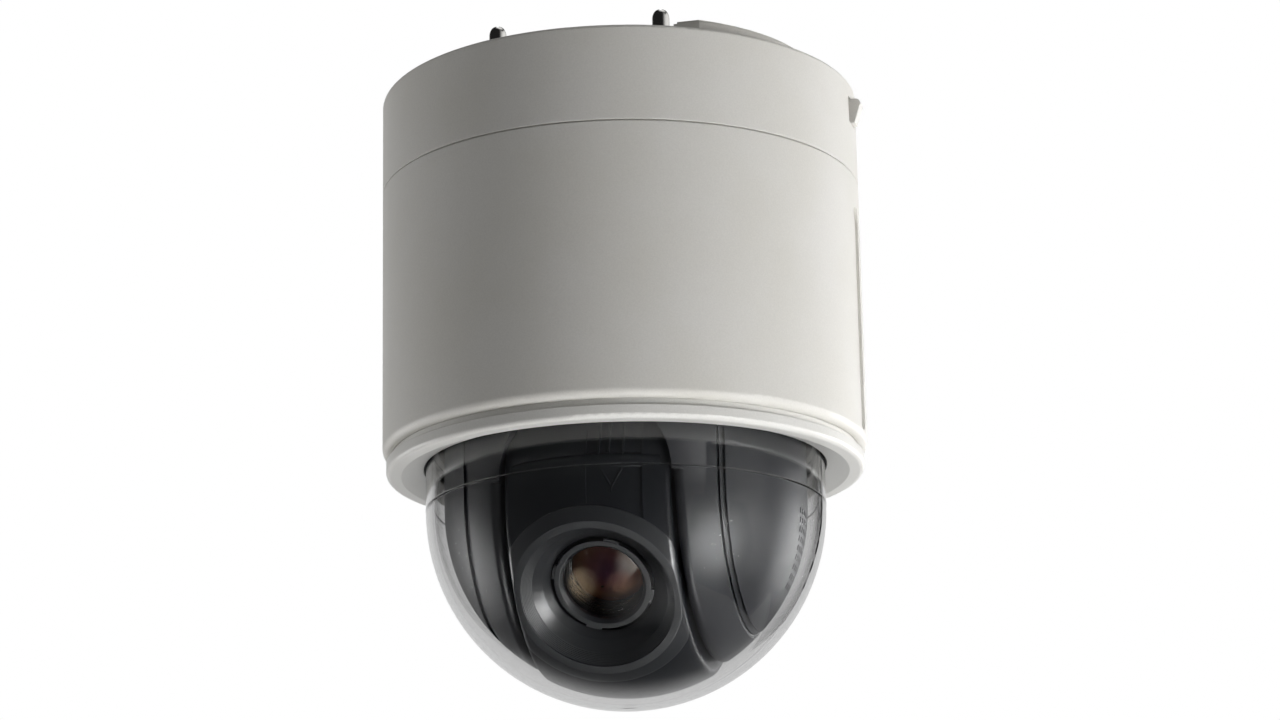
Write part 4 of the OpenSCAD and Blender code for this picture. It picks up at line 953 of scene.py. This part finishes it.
@dataclass
class PanStage:
    """Bearing, motor, gear and slip ring that turn the deck."""

    def dress(self) -> None:
        """Finish the solids."""
        dress(Finishes.BEARING_STEEL, "pan_bearing_outer", "pan_bearing_inner", "pan_bearing_balls")
        dress(Finishes.MOTOR_STEEL, "pan_motor", "tilt_motor")
        dress(Finishes.ACETAL, "pan_gear", "tilt_gear")
        dress(Finishes.BRONZE, "pan_pinion", "tilt_pinion", "tilt_bushes")
        dress(Finishes.BLACK_PLASTIC, "slip_ring_stator")
        dress(Finishes.MACHINED_ALLOY, "slip_ring_rotor", "hub_nut")
        dress(Finishes.CAST_ALLOY, "turntable", "yoke_arm_left", "yoke_arm_right", "tilt_bracket")
        dress(Finishes.ZINC, "deck_screws")


@dataclass
class Liner:
    """Dark shroud and side covers behind the bubble."""

    def dress(self) -> None:
        """Finish the solids."""
        dress(Finishes.LINER, "centre_shroud", "side_cover_left", "side_cover_right")
        dress(Finishes.BLACK_PLASTIC, "fan_frame", "fan_rotor")


@dataclass
class CameraHead:
    """Turning head with its hood, optics and zoom carriages."""

    def dress(self) -> None:
        """Finish the solids."""
        dress(Finishes.HEAD_PAINT, "head_front_shell", "head_rear_shell")
        dress(Finishes.HOOD_PAINT, "lens_hood", "bezel_ring")
        dress(Finishes.BLACK_PLASTIC, "iris_ring", "zoom_group", "focus_group")
        dress(Finishes.COATED_GLASS, "front_glass")
        dress(Finishes.LENS_COATING, "inner_glass")
        dress(Finishes.DARK_ALLOY, "lens_barrel", "zoom_chassis")
        dress(Finishes.STAINLESS, "guide_rods")
        dress(Finishes.BOARD, "sensor_board")
        dress(Finishes.MACHINED_ALLOY, "trunnion_left", "trunnion_right")


# ---------------------------------------------------------------------------
# Studio
# ---------------------------------------------------------------------------


@dataclass(frozen=True)
class Softbox:
    """A glowing sheet of cloth that looks at the camera's middle.

    Attributes:
        name: name of the lamp.
        around: angle round the object from the viewer's side, to the viewer's right, in degrees.
        height: angle above the object, in degrees.
        distance: distance in metres.
        size: width and height in metres.
        power: strength of the lamp, spread over four times its area in square metres.
        mirrored: share that is left of its image where a polished wall shows it.
        core: share of its half width that glows evenly, before it fades to the edge.
    """

    name: str
    around: float
    height: float
    distance: float
    size: tuple[float, float]
    power: float
    mirrored: float = 0.04
    core: float = 0.15

    def place(self, facing: float, target: Vector) -> None:
        """Hang the lamp's glowing sheet in the room.

        Args:
            facing: heading of the viewer, round Z, in radians.
            target: point that the lamp looks at.
        """
        heading = facing + math.radians(self.around)
        tall = math.radians(self.height)
        level = Vector((math.sin(heading), -math.cos(heading), 0.0))
        away = level * math.cos(tall) + Vector((0.0, 0.0, math.sin(tall)))
        bpy.ops.object.select_all(action="DESELECT")
        bpy.ops.mesh.primitive_plane_add(size=1.0)
        sheet = bpy.context.object
        sheet.name = self.name
        sheet.scale = (*self.size, 1.0)
        sheet.rotation_euler = (-away).to_track_quat("-Z", "Y").to_euler()
        sheet.location = target + away * self.distance
        sheet.visible_camera = False
        sheet.visible_shadow = False
        sheet.data.materials.append(self.diffuser())

    def diffuser(self) -> bpy.types.Material:
        """Return the glowing cloth, which fades to its edges and leaves little image in polished walls.

        Returns:
            The Blender material.
        """
        made = bpy.data.materials.new(f"{self.name}_cloth")
        made.use_nodes = True
        tree = made.node_tree
        tree.nodes.clear()
        across = add_node(tree, "ShaderNodeTexCoord")
        flat = add_node(
            tree,
            "ShaderNodeVectorMath",
            {0: across.outputs["Object"], 1: (2.0, 2.0, 0.0)},
            operation="MULTIPLY",
        )
        reach = add_node(tree, "ShaderNodeVectorMath", {0: flat.outputs["Vector"]}, operation="LENGTH")
        fade = add_node(
            tree,
            "ShaderNodeMapRange",
            {"Value": reach.outputs["Value"], "From Min": self.core, "To Min": 1.0, "To Max": 0.0},
            interpolation_type="SMOOTHSTEP",
        )
        # an image in the bubble's wall crosses its faces three times at most, light from inside four times
        path = add_node(tree, "ShaderNodeLightPath")
        outside = add_node(
            tree, "ShaderNodeMath", {0: path.outputs["Transmission Depth"], 1: 3.5}, operation="LESS_THAN"
        )
        sharp = add_node(
            tree,
            "ShaderNodeMath",
            {0: path.outputs["Is Singular Ray"], 1: outside.outputs[0]},
            operation="MULTIPLY",
        )
        radiance = self.power / (4 * self.size[0] * self.size[1])
        image = add_node(
            tree,
            "ShaderNodeMapRange",
            {"Value": sharp.outputs[0], "To Min": radiance, "To Max": radiance * self.mirrored},
        )
        level = add_node(
            tree,
            "ShaderNodeMath",
            {0: fade.outputs["Result"], 1: image.outputs["Result"]},
            operation="MULTIPLY",
        )
        glow = add_node(tree, "ShaderNodeEmission", {"Strength": level.outputs[0]})
        add_node(tree, "ShaderNodeOutputMaterial", {"Surface": glow.outputs[0]})
        return made


@dataclass
class Studio:
    """White room with a pale floor, soft lamps and the viewer.

    Attributes:
        facing: heading of the viewer round the object, from the front towards +X, in degrees.
        distance: viewer's distance from the object's axis, in metres.
        level: viewer's height, in metres.
        lens: focal length on a 36 mm wide sensor.
        pitch: how far the viewer looks up, in radians.
        yaw: turn of the view to the right, in radians.
        roll: roll of the view, in radians.
        floor_level: height of the floor, in metres.
        floor_size: width of the floor, in metres.
        floor_glow: light that the paper sweep seems to give back, where 1 is white.
        fibre_size: size of the paper's clouds, in metres.
        fill: soft light from straight below and straight above, where 1 is white.
        front_image: what polished pieces mirror of the room in front, where 1 is white.
        right_image: what they mirror of its right side, below the eye's level and well above it.
        back_image: what they mirror of the backdrop.
        aim: height that the lamps look at, in metres.
        lamps: the soft lamps.
    """

    facing: float = 13.8
    distance: float = 1.1584
    level: float = -0.4129
    lens: float = 96.09
    pitch: float = 0.2688
    yaw: float = 0.005
    roll: float = -0.019
    floor_level: float = -1.0
    floor_size: float = 8.0
    floor_glow: float = 0.45
    fibre_size: float = 1 / 60
    fill: tuple[float, float] = (0.396, 0.036)
    front_image: float = 0.02
    right_image: tuple[float, float] = (0.25, 1.3)
    back_image: float = 0.8
    aim: float = -0.11
    lamps: list[Softbox] = field(
        default_factory=lambda: [
            Softbox("key_softbox", 78, -14, 1.6, (2.2, 1.8), 44.0),
            Softbox("right_softbox", 127, -4, 1.5, (1.2, 1.2), 50.0),
            Softbox("front_softbox", 59, -25, 1.5, (1.2, 1.2), 60.0),
            Softbox("low_softbox", 14, -62, 1.4, (1.2, 1.2), 34.0),
            Softbox("top_softbox", 110, 78, 1.6, (2.0, 2.0), 22.0),
            Softbox("left_softbox", -116, -12, 1.5, (1.4, 1.4), 38.0),
        ]
    )

    def build(self) -> None:
        """Set up the floor, the room, the lamps and the viewer."""
        bpy.context.scene.view_settings.view_transform = "Standard"
        self.floor()
        self.room()
        for lamp in self.lamps:
            lamp.place(math.radians(self.facing), Vector((0, 0, self.aim)))
        self.viewer()

    def floor(self) -> None:
        """Lay the pale floor well below the camera."""
        bpy.ops.object.select_all(action="DESELECT")
        bpy.ops.mesh.primitive_plane_add(size=self.floor_size, location=(0, 0, self.floor_level))
        ground = bpy.context.object
        ground.name = "studio_floor"
        ground.visible_glossy = False
        ground.visible_diffuse = False
        ground.visible_transmission = False
        made = bpy.data.materials.new("matt_paper_sweep")
        made.use_nodes = True
        tree = made.node_tree
        tree.nodes.clear()
        place = add_node(tree, "ShaderNodeTexCoord")
        fibre = add_node(
            tree,
            "ShaderNodeTexNoise",
            {"Vector": place.outputs["Object"], "Scale": 1 / self.fibre_size, "Detail": 4.0},
        )
        tone = add_node(
            tree,
            "ShaderNodeMix",
            {0: fibre.outputs["Fac"], 6: linear("#e9e9e7"), 7: linear("#f2f2f0")},
            data_type="RGBA",
        )
        # the sweep looks pale to the eye although the lamps hang low; the object's shadow still darkens it
        path = add_node(tree, "ShaderNodeLightPath")
        glow = add_node(
            tree,
            "ShaderNodeMath",
            {0: path.outputs["Is Camera Ray"], 1: self.floor_glow},
            operation="MULTIPLY",
        )
        shader = add_node(
            tree,
            "ShaderNodeBsdfPrincipled",
            {
                "Base Color": tone.outputs[2],
                "Roughness": 0.9,
                "Emission Color": tone.outputs[2],
                "Emission Strength": glow.outputs[0],
            },
        )
        add_node(tree, "ShaderNodeOutputMaterial", {"Surface": shader.outputs[0]})
        ground.data.materials.append(made)

    def room(self) -> None:
        """Light the room softly, and show plain white behind the object."""
        world = bpy.data.worlds.new("white_room")
        world.use_nodes = True
        bpy.context.scene.world = world
        tree = world.node_tree
        tree.nodes.clear()
        path = add_node(tree, "ShaderNodeLightPath")
        place = add_node(tree, "ShaderNodeTexCoord")
        heading = place.outputs["Generated"]
        level = add_node(tree, "ShaderNodeSeparateXYZ", {"Vector": heading})
        fill = add_node(
            tree,
            "ShaderNodeMapRange",
            {"Value": level.outputs["Z"], "From Min": -1.0, "To Min": self.fill[0], "To Max": self.fill[1]},
        )
        image = self.image(tree, heading, level.outputs["Z"])
        # a path that was mirrored on its way shows the room's image, a straight one shows the backdrop
        bounced = add_node(
            tree, "ShaderNodeMath", {0: path.outputs["Glossy Depth"], 1: 0.5}, operation="GREATER_THAN"
        )
        through = add_node(
            tree, "ShaderNodeMix", {0: bounced.outputs[0], 2: 1.0, 3: image}, data_type="FLOAT"
        )
        soft = add_node(
            tree,
            "ShaderNodeMix",
            {0: path.outputs["Is Glossy Ray"], 2: fill.outputs["Result"], 3: image},
            data_type="FLOAT",
        )
        seen = add_node(
            tree,
            "ShaderNodeMix",
            {0: path.outputs["Is Transmission Ray"], 2: soft.outputs[0], 3: through.outputs[0]},
            data_type="FLOAT",
        )
        strength = add_node(
            tree,
            "ShaderNodeMath",
            {0: path.outputs["Is Camera Ray"], 1: seen.outputs[0]},
            operation="MAXIMUM",
        )
        light = add_node(
            tree,
            "ShaderNodeBackground",
            {"Color": (1.0, 1.0, 1.0, 1.0), "Strength": strength.outputs[0]},
        )
        add_node(tree, "ShaderNodeOutputWorld", {"Surface": light.outputs[0]})

    def image(self, tree: Tree, heading: Socket, level: Socket) -> Socket:
        """Return what polished pieces mirror of the room: dark in front, pale on the right and behind.

        Args:
            tree: the world's node tree.
            heading: the direction.
            level: the direction's height, from -1 to 1.

        Returns:
            Output of the brightness, where 1 is white.
        """
        right = self.side(tree, heading, 100.0, (0.2, 1.0))
        raised = add_node(
            tree,
            "ShaderNodeMapRange",
            {
                "Value": level,
                "From Min": 0.05,
                "From Max": 0.25,
                "To Min": self.right_image[0],
                "To Max": self.right_image[1],
            },
        )
        front = add_node(
            tree,
            "ShaderNodeMath",
            {0: right, 1: raised.outputs["Result"], 2: self.front_image},
            operation="MULTIPLY_ADD",
        )
        behind = self.side(tree, heading, 180.0, (0.55, 0.95))
        back = add_node(tree, "ShaderNodeMath", {0: behind, 1: self.back_image}, operation="MULTIPLY")
        both = add_node(
            tree, "ShaderNodeMath", {0: front.outputs[0], 1: back.outputs[0]}, operation="MAXIMUM"
        )
        return both.outputs[0]

    def side(self, tree: Tree, heading: Socket, around: float, edge: tuple[float, float]) -> Socket:
        """Return how far a direction lies within one side of the room.

        Args:
            tree: the world's node tree.
            heading: the direction.
            around: angle of the side's middle from the viewer, to the viewer's right, in degrees.
            edge: cosines at which the side starts and is full.

        Returns:
            Output from 0 to 1.
        """
        turn = math.radians(self.facing + around)
        facing = add_node(
            tree,
            "ShaderNodeVectorMath",
            {0: heading, 1: (math.sin(turn), -math.cos(turn), 0.0)},
            operation="DOT_PRODUCT",
        )
        share = add_node(
            tree,
            "ShaderNodeMapRange",
            {"Value": facing.outputs["Value"], "From Min": edge[0], "From Max": edge[1]},
            interpolation_type="SMOOTHSTEP",
        )
        return share.outputs["Result"]

    def viewer(self) -> None:
        """Put the view where it looks up at the camera from its front right."""
        ahead = Vector(
            (
                math.sin(self.yaw) * math.cos(self.pitch),
                math.cos(self.yaw) * math.cos(self.pitch),
                math.sin(self.pitch),
            )
        )
        right = Vector((math.cos(self.yaw), -math.sin(self.yaw), 0.0))
        up = right.cross(ahead)
        across = right * math.cos(self.roll) + up * math.sin(self.roll)
        upward = up * math.cos(self.roll) - right * math.sin(self.roll)
        turned = Matrix.Rotation(math.radians(self.facing), 4, "Z")
        view = Matrix((across, upward, -ahead)).transposed().to_4x4()
        view.translation = Vector((0.0, -self.distance, self.level))
        eye = bpy.data.cameras.new("studio_view")
        eye.lens = self.lens
        eye.sensor_width = 36.0
        eye.clip_start = 0.05
        holder = bpy.data.objects.new("studio_view", eye)
        holder.matrix_world = turned @ view
        bpy.context.scene.collection.objects.link(holder)
        bpy.context.scene.camera = holder


def main() -> None:
    """Build the studio and dress every sub-assembly."""
    logging.basicConfig(level=logging.INFO, format="%(name)s: %(message)s")
    Studio().build()
    for part in (CeilingMount(), Housing(), PanStage(), Liner(), CameraHead()):
        part.dress()
        LOG.info("dressed %s", type(part).__name__)


if __name__ == "__main__":
    main()
